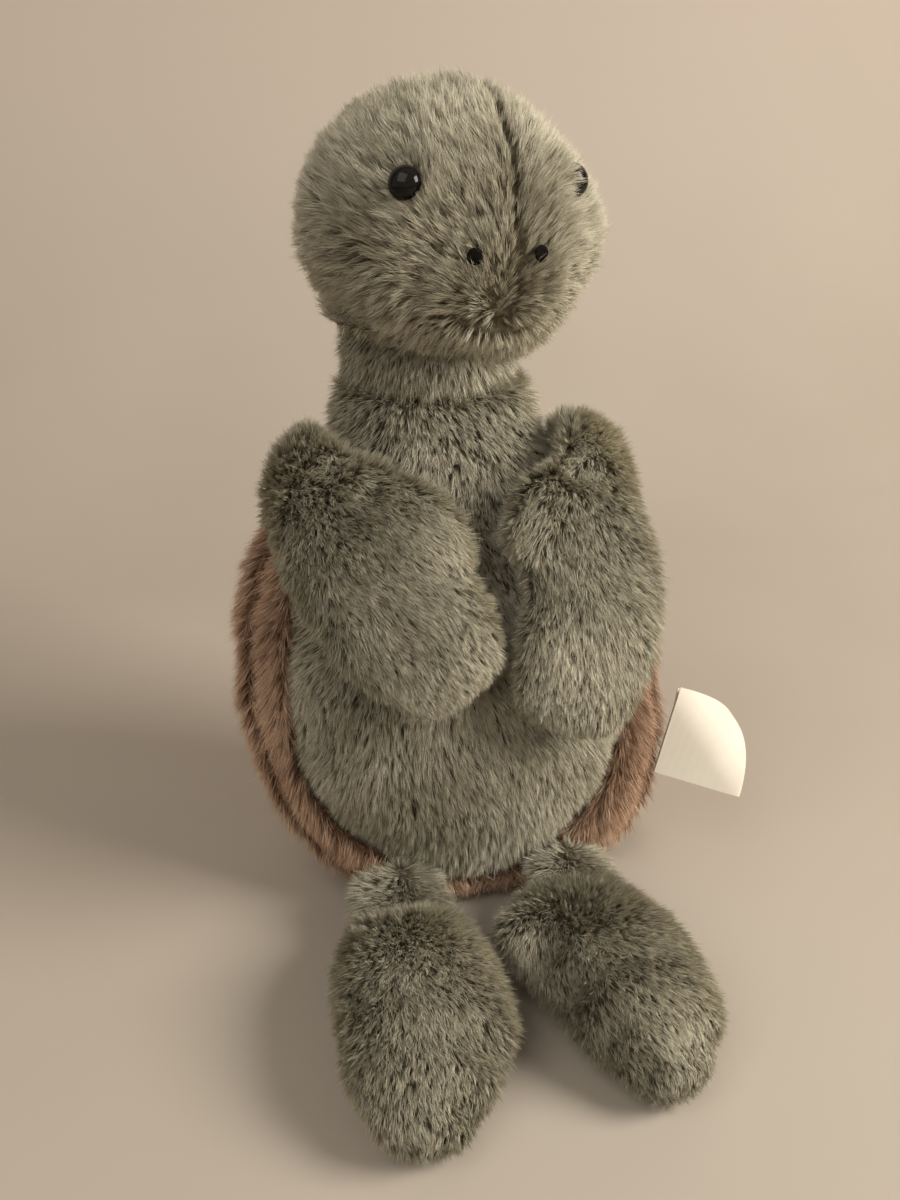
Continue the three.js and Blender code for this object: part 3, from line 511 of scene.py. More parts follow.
def pile_material(name, root, dark, light):
    """Pile: dark at the root as painted shade between the strands, and each strand of its own tint between
    two colours.
    """
    _, start, shader = new_material(name, Roughness=0.92, Specular_IOR_Level=0.18)
    place = start.node("ShaderNodeUVMap", {}, uv_map=STRAND_MAP)
    tint = start.node("ShaderNodeSeparateXYZ", {0: place}, out=0)
    along = start.node("ShaderNodeSeparateXYZ", {0: place}, out=1)
    strand = tint.smooth(0.0, 1.0).mix(dark, light)
    # Distance from the root, shifted by each strand's tint, over which the painted shade at the root fades
    # out
    from_root = along + (tint - TINT_MIDDLE) * ROOT_SHADE_SHIFT
    feed(from_root.smooth(0.0, ROOT_SHADE_END).mix(root, strand), shader, "Base Color")


def backing_material(name, low, high):
    """Backing: knitted cloth seen between the strands, in colours darkened as painted shade."""
    _, start, shader = new_material(name, Roughness=1.0, Specular_IOR_Level=0.1)
    noise = texture(start, "Noise", 900.0, Detail=3.0)
    feed(noise.smooth(0.3, 0.7).mix(low, high), shader, "Base Color")
    roughen(noise, shader, strength=0.4, distance=0.0004)


def plush(kind):
    """The pile and backing materials of one kind of plush, made once."""
    names = (f"{kind}_pile", f"{kind}_backing")
    if names[0] not in bpy.data.materials:
        colours = bpy.context.scene.turtle.colours
        root, dark, light = (getattr(colours, f"{kind}_{part}") for part in ("root", "dark", "light"))
        pile_material(names[0], root, dark, light)
        # The backing's colours are the root's and a darker copy of it: painted shade down between the strands
        backing_material(names[1], (*(BACKING_SHADE * c for c in root[:3]), 1.0), root)
    return [bpy.data.materials[name] for name in names]


# Meshes


def unit(vectors):
    return vectors / np.maximum(np.linalg.norm(vectors, axis=-1, keepdims=True), 1e-9)


def dot(a, b):
    return np.sum(a * b, axis=-1, keepdims=True)


def ramp(values, start, reach):
    """0 up to start, 1 from this reach past it, and a straight line between."""
    return np.clip((values - start) / reach, 0, 1)


def bell(values, width):
    return np.exp(-((values / width) ** 2))


def hill(points, top, size):
    """1 at the top and falling to 0 all round it."""
    return bell(np.linalg.norm(points - np.array(top), axis=1), size)


def mounds(points, rows):
    """The height that a table of mounds and hollows gives each point."""
    return sum(height * hill(points, place, size) for place, size, height in rows)


def waves(points, use, seed):
    """Smooth noise over points, for one of its uses."""
    weight, size, step = use
    rng = np.random.default_rng(seed + step)
    total = np.zeros(len(points))
    for _ in range(WAVE_COUNT):
        direction = unit(rng.normal(size=3)) * rng.uniform(*WAVE_RANGE) * math.pi / size
        total += np.sin(points @ direction + rng.uniform(0, TURN))
    return weight * (total / WAVE_LEVEL)


def put_in_scene(name, data):
    obj = bpy.data.objects.new(name, data)
    home = bpy.data.collections.get(COLLECTION)
    if home is None:
        home = bpy.data.collections.new(COLLECTION)
        bpy.context.scene.collection.children.link(home)
    home.objects.link(obj)
    return obj


def joined_copy(name, nodes):
    """One mesh object made of copies of the named CAD nodes."""
    vertices, faces = [], []
    for node in nodes:
        mesh = frame["nodes"][node].data
        start = len(vertices)
        vertices.extend(v.co[:] for v in mesh.vertices)
        faces.extend([start + i for i in p.vertices] for p in mesh.polygons)
    mesh = bpy.data.meshes.new(name)
    mesh.from_pydata(vertices, [], faces)
    return put_in_scene(name, mesh)


def apply_modifiers(obj):
    graph = bpy.context.evaluated_depsgraph_get()
    mesh = bpy.data.meshes.new_from_object(obj.evaluated_get(graph))
    obj.modifiers.clear()
    obj.data = mesh


def threes(items, field, kind=float):
    """One field of a mesh's items, as rows of three."""
    values = np.empty(len(items) * 3, dtype=kind)
    items.foreach_get(field, values)
    return values.reshape(-1, 3)


def read_mesh(obj):
    """A mesh's corners in millimetres, triangles and corner normals."""
    mesh = obj.data
    mesh.calc_loop_triangles()
    triangles = threes(mesh.loop_triangles, "vertices", np.int32)
    return threes(mesh.vertices, "co") / MM, triangles, threes(mesh.vertex_normals, "vector")


def skin(name, nodes, settings, shape=None):
    """The backing: the nodes joined by a voxel remesh, smoothed, drawn in and given soft lumps."""
    obj = joined_copy(name, nodes)
    remesh = obj.modifiers.new("Join", "REMESH")
    remesh.mode = "VOXEL"
    remesh.voxel_size = settings.voxel
    smooth = obj.modifiers.new("Ease", "SMOOTH")
    smooth.iterations = settings.ease
    apply_modifiers(obj)
    corners, _, normals = read_mesh(obj)
    lumps = waves(corners, LUMP_WAVES, settings.seed) * settings.lumps / MM
    corners += normals * (lumps - settings.inset / MM)[:, None]
    if shape is not None:
        corners += normals * shape(corners)[:, None]
    obj.data.vertices.foreach_set("co", (corners * MM).ravel())
    obj.data.shade_smooth()
    obj.data.update()
    return obj


def scatter(corners, triangles, normals, amount, keep, rng):
    """Random points spread evenly over the kept part of a mesh, with their normals."""
    a, b, c = (corners[triangles[:, i]] for i in range(3))
    middle = (a + b + c) / 3
    area = np.linalg.norm(np.cross(b - a, c - a), axis=1) / 2
    area = area * keep(middle, unit(sum(normals[triangles[:, i]] for i in range(3))))
    pick = np.searchsorted(np.cumsum(area), rng.uniform(0, area.sum(), amount))
    pick = np.minimum(pick, len(triangles) - 1)
    u, v = rng.random((2, amount, 1))
    flip = u + v > 1
    u, v = np.where(flip, 1 - u, u), np.where(flip, 1 - v, v)

    def between(values):
        a, b, c = (values[triangles[pick, i]] for i in range(3))
        return a * (1 - u - v) + b * u + c * v

    return between(corners), unit(between(normals))


def grow_pile(name, base, flow, keep, settings, material, total=None, trim=None):
    """Strands in clumps over a backing, as a mesh of pointed blades.

    flow(points, normals) gives the combed direction, keep(points, normals) the share of clumps
    kept, and trim(points) the share of its length that a strand keeps.
    """
    seed = settings.seed
    rng = np.random.default_rng(seed)
    each = settings.per_clump
    clumps = (total or settings.strands) // each
    centre, normal = scatter(*read_mesh(base), clumps, keep, rng)
    combed = flow(centre, normal)
    combed = unit(combed - normal * dot(combed, normal))
    stray = waves(centre, STRAY_WAVES, seed) + waves(centre, CURL_WAVES, seed)
    stray = (settings.swirl * (stray + rng.normal(0, CLUMP_STRAY, clumps)))[:, None]
    lean = combed * np.cos(stray) + np.cross(normal, combed) * np.sin(stray)
    lift = 1 + CLUMP_LIFT * rng.normal(size=clumps) + waves(centre, LIFT_WAVES, seed)
    lift = np.clip(settings.lift * lift, LOWEST_LIFT, HIGHEST_LIFT)[:, None, None]
    tall = settings.pile / MM * (1 + CLUMP_LENGTH * rng.normal(size=clumps))[:, None, None]
    tint = TINT_MIDDLE + waves(centre, TINT_WAVES, seed) + CLUMP_TINT * rng.normal(size=clumps)

    shape = (clumps, each, 1)
    side = np.cross(normal, lean)
    spread = np.sqrt(rng.random(shape)) * settings.clump / MM
    turn = rng.uniform(0, TURN, shape)
    offset = spread * (np.cos(turn) * lean[:, None] + np.sin(turn) * side[:, None])
    root = centre[:, None] + offset
    reach = tall * rng.uniform(*LENGTH_RANGE, shape)
    if trim is not None:
        reach = reach * trim(root.reshape(-1, 3)).reshape(shape)
    lean, side, normal = lean[:, None], side[:, None], normal[:, None]
    bend = rng.normal(0, STRAND_BEND, shape)
    lift = lift + rng.normal(0, STRAND_LIFT, shape)
    way = (lean * np.cos(bend) + side * np.sin(bend)) * np.cos(lift) + normal * np.sin(lift)
    tip = root + reach * way - offset * settings.gather
    tip[..., 2] = np.maximum(tip[..., 2], FLOOR_CLEAR)

    roll = rng.uniform(-ROLL, ROLL, shape)
    flat = unit(np.cross(way, normal)) * np.cos(roll) + normal * np.sin(roll)
    half = flat * settings.width / MM / 2 * rng.uniform(*WIDTH_RANGE, shape)
    root = root - normal * ROOT_SINK
    blades = np.stack([root - half, root + half, tip], axis=2).reshape(-1, 3, 3)
    facing = unit(unit(np.cross(half, way)) + ROUNDNESS * normal).reshape(-1, 3)
    tints = np.clip(tint[:, None] + STRAND_TINT * rng.normal(size=(clumps, each)), *TINT_RANGE).ravel()
    obj = blade_object(name, blades, facing, tints)
    obj.data.materials.append(material)
    return obj


def blade_object(name, blades, facing, tints):
    """A mesh of blades, whose UV map holds the tint across and root to tip along."""
    amount = len(blades)
    mesh = bpy.data.meshes.new(name)
    mesh.vertices.add(amount * 3)
    mesh.vertices.foreach_set("co", (blades * MM).astype(np.float32).ravel())
    mesh.loops.add(amount * 3)
    mesh.loops.foreach_set("vertex_index", np.arange(amount * 3, dtype=np.int32))
    mesh.polygons.add(amount)
    mesh.polygons.foreach_set("loop_start", np.arange(0, amount * 3, 3, dtype=np.int32))
    mesh.update(calc_edges=True)
    uv = np.empty((amount, 3, 2))
    uv[:, :, 0] = tints[:, None] + np.array([-TINT_HALF, TINT_HALF, 0.0])
    uv[:, :, 1] = [ROOT_ALONG, ROOT_ALONG, TIP_ALONG]
    layer = mesh.uv_layers.new(name=STRAND_MAP)
    layer.uv.foreach_set("vector", uv.astype(np.float32).ravel())
    mesh.shade_smooth()
    mesh.normals_split_custom_set_from_vertices(np.repeat(facing, 3, axis=0))
    return put_in_scene(name, mesh)


def turned(name, profile, middle, out, sides=64, ripple=None):
    """A closed mesh turned round an axis from (radius, height) pairs that start and end on it."""
    across = unit(np.cross(out, UP))
    above = np.cross(across, out)
    angles = np.linspace(0, TURN, sides, endpoint=False)[:, None]
    ring = np.cos(angles) * across + np.sin(angles) * above
    corners = [middle + out * profile[0][1]]
    for radius, height in profile[1:-1]:
        rise = height if ripple is None else height + ripple(radius * np.cos(angles))
        corners.extend(middle + out * rise + ring * radius)
    corners.append(middle + out * profile[-1][1])
    last = len(corners) - 1
    nearby = [(i, (i + 1) % sides) for i in range(sides)]
    faces = [(0, 1 + k, 1 + i) for i, k in nearby]
    for start in range(1, last - sides, sides):
        faces += [(start + i, start + k, start + sides + k, start + sides + i) for i, k in nearby]
    faces += [(last, last - sides + i, last - sides + k) for i, k in nearby]
    return solid_object(name, np.array(corners), faces)


def solid_object(name, corners, faces):
    """A smooth closed mesh from corners in millimetres, with its faces turned outwards."""
    mesh = bpy.data.meshes.new(name)
    mesh.from_pydata((corners * MM).tolist(), [], faces)
    shape = bmesh.new()
    shape.from_mesh(mesh)
    bmesh.ops.recalc_face_normals(shape, faces=shape.faces)
    shape.to_mesh(mesh)
    shape.free()
    mesh.shade_smooth()
    mesh.set_sharp_from_angle(angle=SHARP)
    return put_in_scene(name, mesh)


# Places on the frame


def along_body(points):
    """Height up the leaning body and distance in front of its line."""
    from_start = points - BODY_START
    return from_start @ BODY_UP, from_start @ BODY_FRONT


def in_head(points):
    """Across, forward and up from the head's middle."""
    from_middle = points - HEAD_MIDDLE
    return from_middle @ HEAD_ACROSS, from_middle @ HEAD_FRONT, from_middle[:, 2]


def seam_line(points):
    """How far a point lies across from the crown's seam."""
    across, forward, up = in_head(points)
    drift = NOSE_DRIFT * ramp(up, MOUTH_UP, NOSE_FADE) + CROWN_DRIFT * ramp(up, CROWN_UP, CROWN_FADE)
    return across - drift - WAVER * np.sin(up / WAVER_UP + forward / WAVER_FORWARD)


def lip_line(points):
    """How far a point lies above the mouth's crease, which rises on both sides."""
    across, _, up = in_head(points)
    return up - MOUTH_UP - across**2 / LIP_CURVE + LIP_SLANT * across


def node_corners(node):
    return threes(frame["nodes"][node].data.vertices, "co") / MM


def disc_axis(node):
    """The middle of a flat round node and the direction square to it, out of the head."""
    corners = node_corners(node)
    middle = corners.mean(axis=0)
    out = np.linalg.svd(corners - middle)[2][2]
    return middle, out * np.sign(out @ (middle - HEAD_MIDDLE))


def round_axis(node, middle, out):
    """How high the node's corners lie along an axis, and how far from it."""
    corners = node_corners(node) - middle
    heights = corners @ out
    return heights, np.linalg.norm(corners - heights[:, None] * out, axis=1)


def eye_place(side):
    """An eye's axis, and along it the heights of its stem's end, its seat and its top, and its radii."""
    middle, out = disc_axis(f"eye_washer_{side}")
    heights, radii = round_axis(f"eye_{side}", middle, out)
    widest = radii > WIDEST * radii.max()
    lowest = heights < heights.min() + STEM_DEPTH
    return middle, out, heights.min(), heights[widest].min(), heights.max(), radii.max(), radii[lowest].max()


# Pieces


def make_plush(cover, pile, nodes, body, kind, settings, flow, keep, shape=None, total=None, trim=None):
    """A backing that stands for its nodes and rides on their body, and the pile that rides on it."""
    pile_look, backing_look = plush(kind)
    base = skin(cover, nodes, settings, shape)
    base.data.materials.append(backing_look)
    piece = grow_pile(pile, base, flow, keep, settings, pile_look, total=total, trim=trim)
    piece.parent = base
    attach(base, body)
    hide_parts(*nodes)


def build_head(settings):
    """The head: pile that radiates from the mouth, parted along its seams."""
    eyes = [eye_place(side) for side in SIDES]
    gap = settings.eye_gap / MM
    discs = [(middle + out * seat, radius + gap) for middle, out, _, seat, _, radius, _ in eyes]
    discs += [(disc_axis(f"nostril_{side}")[0], NOSTRIL_BARE) for side in SIDES]
    near, far = discs[0][0], discs[1][0]

    def brow_way(middle):
        """Along the head's surface from an eye to the crown's seam."""
        out = unit(middle - HEAD_MIDDLE)
        inward = -np.sign(out @ HEAD_ACROSS) * HEAD_ACROSS
        return unit(inward - out * (inward @ out))

    def over_far_eye(points):
        """1 on the seam's side of the far eye, where the pile falls over it, and 0 away from there."""
        return hill(points, far, FALL_SIZE) * ramp((points - far) @ brow_way(far), 0, FALL_FADE)

    def shape(points):
        across, forward, up = in_head(points)
        crown = bell(seam_line(points), SEAM_GROOVE) * ramp(up, MOUTH_UP, SEAM_FADE)
        lips = np.exp(-((lip_line(points) / LIP_GROOVE) ** 2) - (across / LIP_HALF) ** 2)
        lips = lips * (forward > LIP_FORWARD)
        moved = -settings.seam_depth / MM * np.maximum(crown, LIP_DEPTH * lips)
        moved += mounds(np.column_stack([across, forward, up]), HEAD_MOUNDS)
        for side, (middle, _) in zip(SIDES, discs):
            ridge_share, socket = BROWS[side]
            ridge = middle + brow_way(middle) * RIDGE_AWAY + UP * RIDGE_RISE
            height = settings.brow / MM * ridge_share
            moved += height * hill(points, ridge, RIDGE_SIZE) + socket * hill(points, middle, SOCKET_SIZE)
        return moved

    def keep(points, _normals):
        across, forward, up = in_head(points)
        kept = np.linalg.norm(points - NECK_MIDDLE, axis=1) > NECK_RADIUS + NECK_ROOM
        beside_lips = (np.abs(across) > LIP_PART_HALF) | (forward < LIP_FORWARD)
        kept &= (np.abs(lip_line(points)) > LIP_PART) | beside_lips
        parted = settings.seam / MM * np.clip(SEAM_WIDE - up / SEAM_TAPER, SEAM_NARROW, 1)
        kept &= (np.abs(seam_line(points)) > parted) | (up < MOUTH_UP)
        for middle, radius in discs:
            kept &= np.linalg.norm(points - middle, axis=1) > radius
        return kept.astype(float)

    def flow(points, _normals):
        _, forward, up = in_head(points)
        way = unit(points - MOUTH - HEAD_FRONT * SOURCE_FRONT)
        beside = seam_line(points)
        part = bell(beside, PART_SIZE) * (up > MOUTH_UP)
        way = way + (PART_COMB * np.sign(beside) * part)[:, None] * HEAD_ACROSS
        below = ramp(-lip_line(points), 0, CHIN_FADE) * (forward > 0)
        way = way - (CHIN_COMB * below)[:, None] * UP
        behind = ramp(-forward, BACK_START, BACK_FADE)[:, None]
        way = way * (1 - behind) - UP * behind
        way = way + EYE_COMB * hill(points, near, EYE_COMB_SIZE)[:, None] * unit(points - near)
        return way - FALL_COMB * over_far_eye(points)[:, None] * brow_way(far)

    def trim(points):
        apart = [np.linalg.norm(points - middle, axis=1) - radius for middle, radius in discs]
        muzzle = np.linalg.norm(points - MOUTH, axis=1)
        short = np.clip(EYE_SHORT + np.minimum.reduce(apart) / EYE_SHORT_FADE, EYE_SHORT, 1)
        short = short * np.clip(MUZZLE_SHORT + muzzle / MUZZLE_FADE, MUZZLE_SHORT, 1)
        return np.maximum(short, FALL_LONG * over_far_eye(points))

    nodes = ["head_panel_right", "head_panel_left", "chin_panel", "head_stuffing"]
    make_plush("head_cover", "head_pile", nodes, "head", "sage", settings, flow, keep, shape, trim=trim)


def build_neck(settings):
    """The neck: short pile combed down."""

    def flow(points, _normals):
        return np.broadcast_to(-UP, points.shape).copy()

    def keep(_points, normals):
        return (np.abs(normals[:, 2]) < NECK_LEVEL).astype(float)

    def trim(points):
        return 1 + NECK_SKIRT * bell(points[:, 2] - NECK_BASE, NECK_SKIRT_SIZE)

    nodes = ["neck_cover", "neck_stuffing"]
    make_plush("neck_skin", "neck_pile", nodes, "neck", "sage", settings, flow, keep, trim=trim)


def build_body(settings):
    """The belly: pile combed down, left off where the shell covers the back."""

    def flow(points, _normals):
        way = np.broadcast_to(-BODY_UP, points.shape).copy()
        way[:, 0] += points[:, 0] / BELLY_SPREAD
        return way

    def keep(points, _normals):
        up, front = along_body(points)
        return ((front > BELLY_BACK) | (up > BARE_BACK_UP)).astype(float)

    def shape(points):
        up, _ = along_body(points)
        return ramp(up, COLLAR_UP, COLLAR_FADE) * COLLAR

    nodes = ["belly_panel", "back_panel", "body_stuffing"]
    make_plush("body_cover", "body_pile", nodes, "torso", "sage", settings, flow, keep, shape)


def build_shell(settings):
    """The shell: a domed back and two ridges round its edge."""

    def flow(points, _normals):
        _, front = along_body(points)
        outward = (points - BODY_START) - BODY_UP * SHELL_MIDDLE_UP - BODY_FRONT * front[:, None]
        return unit(outward) * SHELL_FAN - BODY_UP

    def keep(_points, normals):
        return (normals @ BODY_FRONT < SHELL_FLAT).astype(float)

    def whole(points, _normals):
        return np.ones(len(points))

    nodes = ["shell_dome", "shell_stuffing"]
    make_plush("shell_cover", "shell_pile", nodes, "torso", "rose", settings, flow, keep)
    total = settings.rim_strands
    make_plush("rim_cover", "rim_pile", ["shell_rim"], "torso", "rose", settings, flow, whole, total=total)


def build_flipper(settings, limb, side, covers):
    """An arm or a leg: pile combed from its sewn edge to its tip."""
    name = f"{limb}_{side}"
    nodes = [f"{name}_{cover}" for cover in covers] + [f"{name}_stuffing"]
    joint = next(j for j in frame["joints"] if j["name"] == f"{name}_lift")
    hinge = np.array(joint["pos_m"]) / MM

    def flow(points, _normals):
        return points - hinge

    def keep(points, normals):
        return ((points[:, 2] > SOLE_HEIGHT) | (normals[:, 2] > SOLE_SLOPE)).astype(float)

    def shape(points):
        return mounds(points, FLIPPER_MOUNDS[name])

    def trim(points):
        reach = np.linalg.norm(points - hinge, axis=1)
        fold = ramp(-shape(points), 0, FOLD_DEPTH)
        return 1 - TIP_SHORT * ramp(reach, TIP_SHARE * reach.max(), TIP_FADE) - FOLD_SHORT * fold

    cover, pile = f"{name}_cover", f"{name}_pile"
    make_plush(cover, pile, nodes, name, "sage", settings, flow, keep, shape, trim=trim)


def fitting(piece, material, body, node):
    """A rigid or sewn piece that stands for one CAD node."""
    piece.data.materials.append(material)
    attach(piece, body)
    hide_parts(node)


def build_eyes(settings):
    """Polished black domes for the eyes, and stitched black dots for the nostrils."""
    polish, start, shader = new_material("eye_black", Roughness=0.07, Specular_IOR_Level=0.22)
    noise = texture(start, "Noise", 220.0)
    gloss = noise.smooth(0.2, 0.8).mix((0.002, 0.002, 0.002, 1), (0.006, 0.005, 0.005, 1))
    feed(gloss, shader, "Base Color")
    thread, start, shader = new_material("nostril_black", Roughness=0.8, Specular_IOR_Level=0.05)
    wave = texture(start, "Wave", 700.0)
    ribs = wave.smooth(0.0, 1.0).mix((0.003, 0.003, 0.002, 1), (0.014, 0.012, 0.010, 1))
    feed(ribs, shader, "Base Color")
    turns = np.linspace(0, math.pi / 2, DOME_STEPS)[:-1]
    rib = settings.stitch / MM

    def ripple(across):
        return RIB_HEIGHT * np.sin(across * TURN / rib)

    def dome(radius, low, rise):
        return [(radius * math.cos(t), low + rise * math.sin(t)) for t in turns]

    for side in SIDES:
        middle, out, bottom, seat, top, radius, stem = eye_place(side)
        profile = [(0, bottom), (stem, bottom), (stem, seat), *dome(radius, seat, top - seat), (0, top)]
        fitting(turned(f"eye_dome_{side}", profile, middle, out), polish, "head", f"eye_{side}")

        middle, out = disc_axis(f"nostril_{side}")
        heights, radii = round_axis(f"nostril_{side}", middle, out)
        low, rise = heights.min(), heights.max() - heights.min()
        profile = [(0, low), *dome(radii.max(), low, rise), (0, low + rise)]
        stitches = turned(f"nostril_stitches_{side}", profile, middle, out, ripple=ripple)
        fitting(stitches, thread, "head", f"nostril_{side}")


def paint(material, *nodes):
    for node in nodes:
        slots = frame["nodes"][node].data.materials
        slots.clear()
        slots.append(material)


def build_inside():
    """What the covers hide: beans, their pouch and the eyes' washers."""
    material, start, shader = new_material("bean_white", Roughness=0.5)
    cells = texture(start, "Voronoi", 300.0)
    # The beans are painted grey towards their edges, as shade in the gaps between them
    feed(cells.smooth(0.0, 0.6).mix(rgb(232, 230, 224), rgb(150, 148, 140)), shader, "Base Color")
    roughen(1.0 - cells, shader, strength=0.8, distance=0.002)
    paint(material, "beans")
    material, start, shader = new_material("pouch_lining", Roughness=0.9)
    weave = texture(start, "Wave", 500.0)
    feed(weave.smooth(0.2, 0.8).mix(rgb(208, 203, 190), rgb(226, 222, 210)), shader, "Base Color")
    paint(material, "bean_pouch_top", "bean_pouch_bottom")
    material, start, shader = new_material("washer_white", Roughness=0.4)
    noise = texture(start, "Noise", 500.0)
    feed(noise.mix(rgb(222, 222, 218), rgb(236, 236, 232)), shader, "Base Color")
    paint(material, "eye_washer_right", "eye_washer_left")


def roll_corner(points, settings):
    """Rolls the label's free upper corner back, round an axis across its diagonal."""
    along, upward = math.cos(settings.roll), math.sin(settings.roll)
    radius = settings.roll_radius / MM
    corner = (settings.label_reach * along + settings.label_width * upward) / MM
    past = np.maximum(points[:, 0] * along + points[:, 2] * upward - corner + settings.roll_start / MM, 0)
    arm = radius - points[:, 1]
    shift = arm * np.sin(past / radius) - past
    rise = radius - arm * np.cos(past / radius)
    return np.stack([points[:, 0] + shift * along, rise, points[:, 2] + shift * upward], axis=1)


def build_label(settings):
    """The bare folded label, in a fine satin weave."""
    width, reach = settings.label_width / MM, settings.label_reach / MM
    inner = settings.label_fold / MM
    outer = inner + settings.label_thickness / MM
    straight = reach - outer
    leaf = np.linspace(0, straight, LABEL_STEPS)
    bend = np.linspace(-math.pi / 2, math.pi / 2, FOLD_STEPS)[1:-1]

    def side(radius):
        fold = [(straight + radius * math.cos(t), radius * math.sin(t)) for t in bend]
        return [(x, -radius) for x in leaf] + fold + [(x, radius) for x in leaf[::-1]]

    section = np.array(side(outer) + side(inner)[::-1])
    size = len(section)
    rows = [np.column_stack([section, np.full(size, z)]) for z in np.linspace(0, width, LABEL_STEPS + 1)]
    points = roll_corner(np.concatenate(rows), settings)
    points[:, 2] -= width / 2
    turn = np.array(Euler((-LEAN, settings.label_droop, settings.label_turn), "ZYX").to_matrix())
    points = points @ turn.T + LABEL_EDGE
    nearby = [(i, (i + 1) % size) for i in range(size)]
    last = LABEL_STEPS * size
    faces = [(r + i, r + k, r + size + k, r + size + i) for r in range(0, last, size) for i, k in nearby]
    for start in (0, last):
        end = start + size - 1
        faces += [(start + i, start + i + 1, end - 1 - i, end - i) for i in range(size // 2 - 1)]
    piece = solid_object("label_ribbon", points, faces)

    colours = bpy.context.scene.turtle.colours
    satin, start, shader = new_material("label_satin", Roughness=0.62)
    weave = texture(start, "Wave", 900.0, Distortion=0.6)
    noise = texture(start, "Noise", 60.0)
    cloth = (weave * 0.4 + noise * 0.6).smooth(0.2, 0.8)
    feed(cloth.mix(colours.label_dark, colours.label_light), shader, "Base Color")
    roughen(weave, shader, strength=0.15, distance=0.0002)
    fitting(piece, satin, "torso", "label")


def point(obj, place, way):
    """Puts a camera or light in its place and turns it to face this way."""
    obj.location = place
    obj.rotation_mode = "QUATERNION"
    obj.rotation_quaternion = way.to_track_quat("-Z", "Y")


def build_camera(settings):
    camera = bpy.data.cameras.new("Camera")
    camera.lens = settings.lens
    camera.clip_start = CLIP_START
    seat = put_in_scene("Camera", camera)
    level = math.cos(settings.pitch)
    ahead = math.cos(settings.azimuth) * level
    look = Vector((-math.sin(settings.azimuth) * level, ahead, -math.sin(settings.pitch)))
    point(seat, settings.camera, look)
    bpy.context.scene.camera = seat


def build_sweep():
    """Floor and backdrop in one sheet of paper, which fades into the room far from the turtle."""
    rows = [(FLOOR_FRONT, 0.0), (BEND_START, 0.0)]
    for t in np.linspace(BEND_FIRST, math.pi / 2, BEND_STEPS):
        rows.append((BEND_START + BEND_RADIUS * math.sin(t), BEND_RADIUS - BEND_RADIUS * math.cos(t)))
    rows.append((BEND_START + BEND_RADIUS, WALL_TOP))
    vertices = [(x, y, z) for y, z in rows for x in (-SWEEP_HALF, SWEEP_HALF)]
    faces = [(2 * i, 2 * i + 1, 2 * i + 3, 2 * i + 2) for i in range(len(rows) - 1)]
    mesh = bpy.data.meshes.new("Sweep")
    mesh.from_pydata(vertices, [], faces)
    mesh.shade_smooth()
    sweep = put_in_scene("Sweep", mesh)

    colours = bpy.context.scene.turtle.colours
    material, start, shader = new_material("sweep_paper", Roughness=0.95, Emission_Strength=1.0)
    noise = texture(start, "Noise", 3.0, Detail=4.0)
    height = start.node("ShaderNodeSeparateXYZ", {0: start}, out=2)
    floor = noise.smooth(0.3, 0.7).mix(colours.floor_dark, colours.floor_light)
    paper = height.smooth(0.0, BEND_RADIUS).mix(floor, colours.wall)
    reach = start.node("ShaderNodeVectorMath", {0: start}, out=1, operation="LENGTH")
    seen = start.node("ShaderNodeLightPath", {})
    away = reach.smooth(FADE_START, FADE_END) * seen
    feed(away.mix(paper, BLACK), shader, "Base Color")
    feed(away.mix(BLACK, colours.room), shader, "Emission Color")
    mesh.materials.append(material)


def add_light(name, place, size, watts, tint):
    light = bpy.data.lights.new(name, "AREA")
    light.size = size
    light.energy = watts
    light.color = tint
    point(put_in_scene(name, light), place, LIGHT_AIM - Vector(place))


def build_room(settings):
    """The world: a weak warm light, seen as the room's colour."""
    world = bpy.data.worlds.new("Room")
    bpy.context.scene.world = world
    world.use_nodes = True
    tree = world.node_tree
    background = tree.nodes["Background"]
    path = tree.nodes.new("ShaderNodeLightPath")
    seen = [Socket(tree, path.outputs[f"Is {kind} Ray"]) for kind in ("Camera", "Glossy", "Transmission")]
    shown = sum(seen[1:], seen[0]).smooth(0.0, 1.0)
    feed(shown.mix(SKYLIGHT, bpy.context.scene.turtle.colours.room), background, "Color")
    feed(settings.ambient + shown * (1.0 - settings.ambient), background, "Strength")


def build_stage(settings):
    """Camera, pale floor and backdrop in one sweep, and soft lights."""
    build_camera(settings)
    build_sweep()
    add_light("Key", (0.86, -0.46, 0.72), size=0.55, watts=settings.key, tint=(1.0, 0.94, 0.85))
    add_light("Fill", (-0.6, -0.55, 1.0), size=0.9, watts=settings.fill, tint=(1.0, 0.96, 0.9))
    build_room(settings)
    bpy.context.scene.view_settings.view_transform = "Standard"


# Operators


class TURTLE_OT_stage(bpy.types.Operator):
    """Build the camera, floor, backdrop and lights"""

    bl_idname = "turtle.stage"
    bl_label = "Stage"

    def execute(self, context):
        build_stage(context.scene.turtle.stage)
        return {"FINISHED"}


class TURTLE_OT_head(bpy.types.Operator):
    """Build the head's cover and pile"""

    bl_idname = "turtle.head"
    bl_label = "Head"

    def execute(self, context):
        build_head(context.scene.turtle.head)
        return {"FINISHED"}


class TURTLE_OT_neck(bpy.types.Operator):
    """Build the neck's cover and pile"""

    bl_idname = "turtle.neck"
    bl_label = "Neck"

    def execute(self, context):
        build_neck(context.scene.turtle.neck)
        return {"FINISHED"}


class TURTLE_OT_body(bpy.types.Operator):
    """Build the body's cover and pile"""

    bl_idname = "turtle.body"
    bl_label = "Body"

    def execute(self, context):
        build_body(context.scene.turtle.body)
        return {"FINISHED"}


class TURTLE_OT_shell(bpy.types.Operator):
    """Build the shell's dome, rim and pile"""

    bl_idname = "turtle.shell"
    bl_label = "Shell"

    def execute(self, context):
        build_shell(context.scene.turtle.shell)
        return {"FINISHED"}


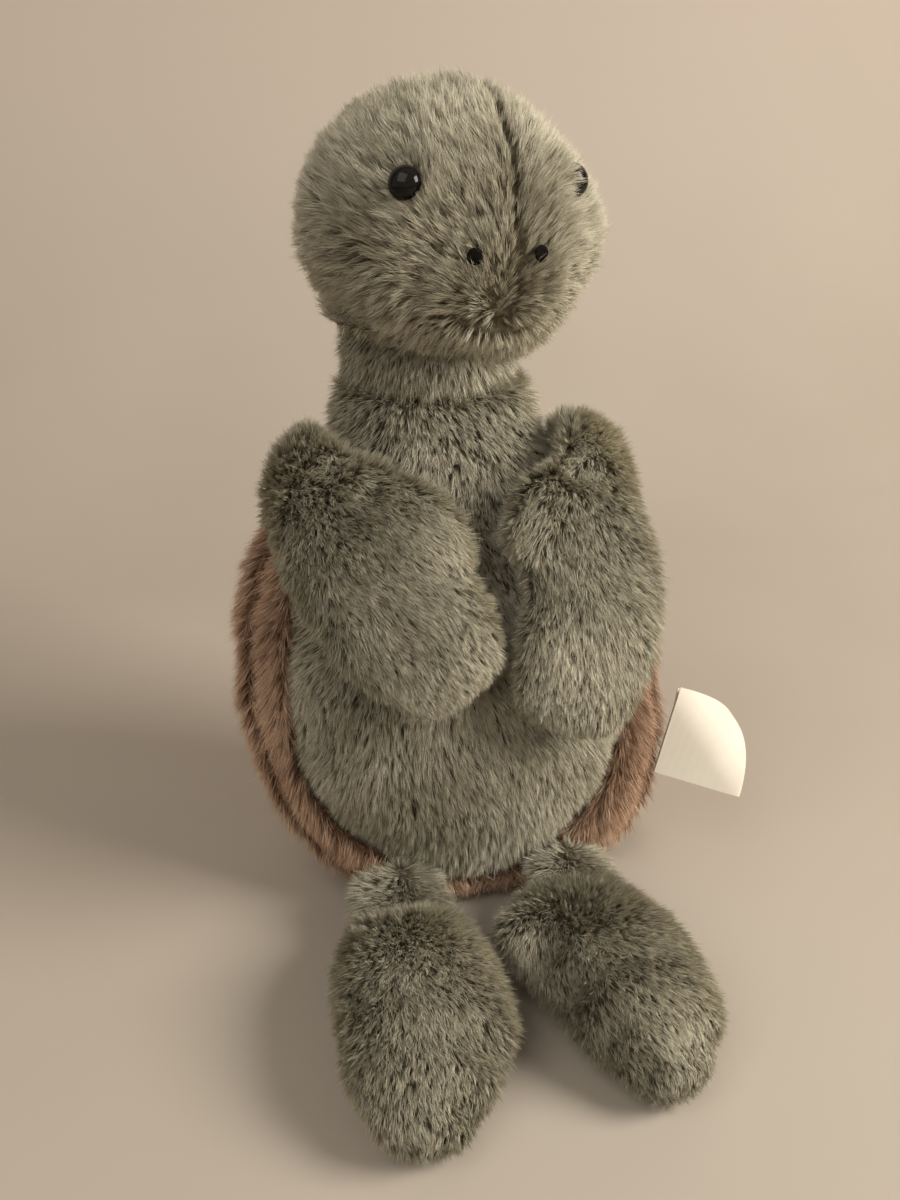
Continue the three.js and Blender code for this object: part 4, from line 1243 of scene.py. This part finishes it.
class TURTLE_OT_flippers(bpy.types.Operator):
    """Build both arms and both legs"""

    bl_idname = "turtle.flippers"
    bl_label = "Flippers"

    def execute(self, context):
        for side in SIDES:
            build_flipper(context.scene.turtle.flipper, "arm", side, ("outer_panel", "inner_panel"))
            build_flipper(context.scene.turtle.flipper, "leg", side, ("top_panel", "sole_panel"))
        return {"FINISHED"}


class TURTLE_OT_fittings(bpy.types.Operator):
    """Build the eyes, nostrils and label, and finish the hidden pieces"""

    bl_idname = "turtle.fittings"
    bl_label = "Fittings"

    def execute(self, context):
        build_eyes(context.scene.turtle.fittings)
        build_inside()
        build_label(context.scene.turtle.fittings)
        return {"FINISHED"}


STEPS = ("stage", "head", "neck", "body", "shell", "flippers", "fittings")


class TURTLE_PT_panel(bpy.types.Panel):
    """The buttons and settings of the turtle"""

    bl_label = "Plush turtle"
    bl_idname = "TURTLE_PT_panel"
    bl_space_type = "VIEW_3D"
    bl_region_type = "UI"
    bl_category = "Turtle"

    def draw(self, context):
        for step in STEPS:
            self.layout.operator(f"turtle.{step}")
        turtle = context.scene.turtle
        for part in TurtleSettings.__annotations__:
            settings = getattr(turtle, part)
            box = self.layout.box()
            box.label(text=part.capitalize())
            for name in settings.bl_rna.properties.keys():
                if name not in ("rna_type", "name"):
                    box.prop(settings, name)


CLASSES = (
    ColourSettings, HeadSettings, NeckSettings, BodySettings, ShellSettings, FlipperSettings,
    FittingSettings, StageSettings, TurtleSettings,
    TURTLE_OT_stage, TURTLE_OT_head, TURTLE_OT_neck, TURTLE_OT_body, TURTLE_OT_shell,
    TURTLE_OT_flippers, TURTLE_OT_fittings, TURTLE_PT_panel,
)


def register():
    for cls in CLASSES:
        bpy.utils.register_class(cls)
    bpy.types.Scene.turtle = bpy.props.PointerProperty(type=TurtleSettings)


def unregister():
    del bpy.types.Scene.turtle
    for cls in reversed(CLASSES):
        bpy.utils.unregister_class(cls)


def main():
    register()
    for step in STEPS:
        getattr(bpy.ops.turtle, step)()
    bpy.context.view_layer.update()


if __name__ == "__main__":
    main()
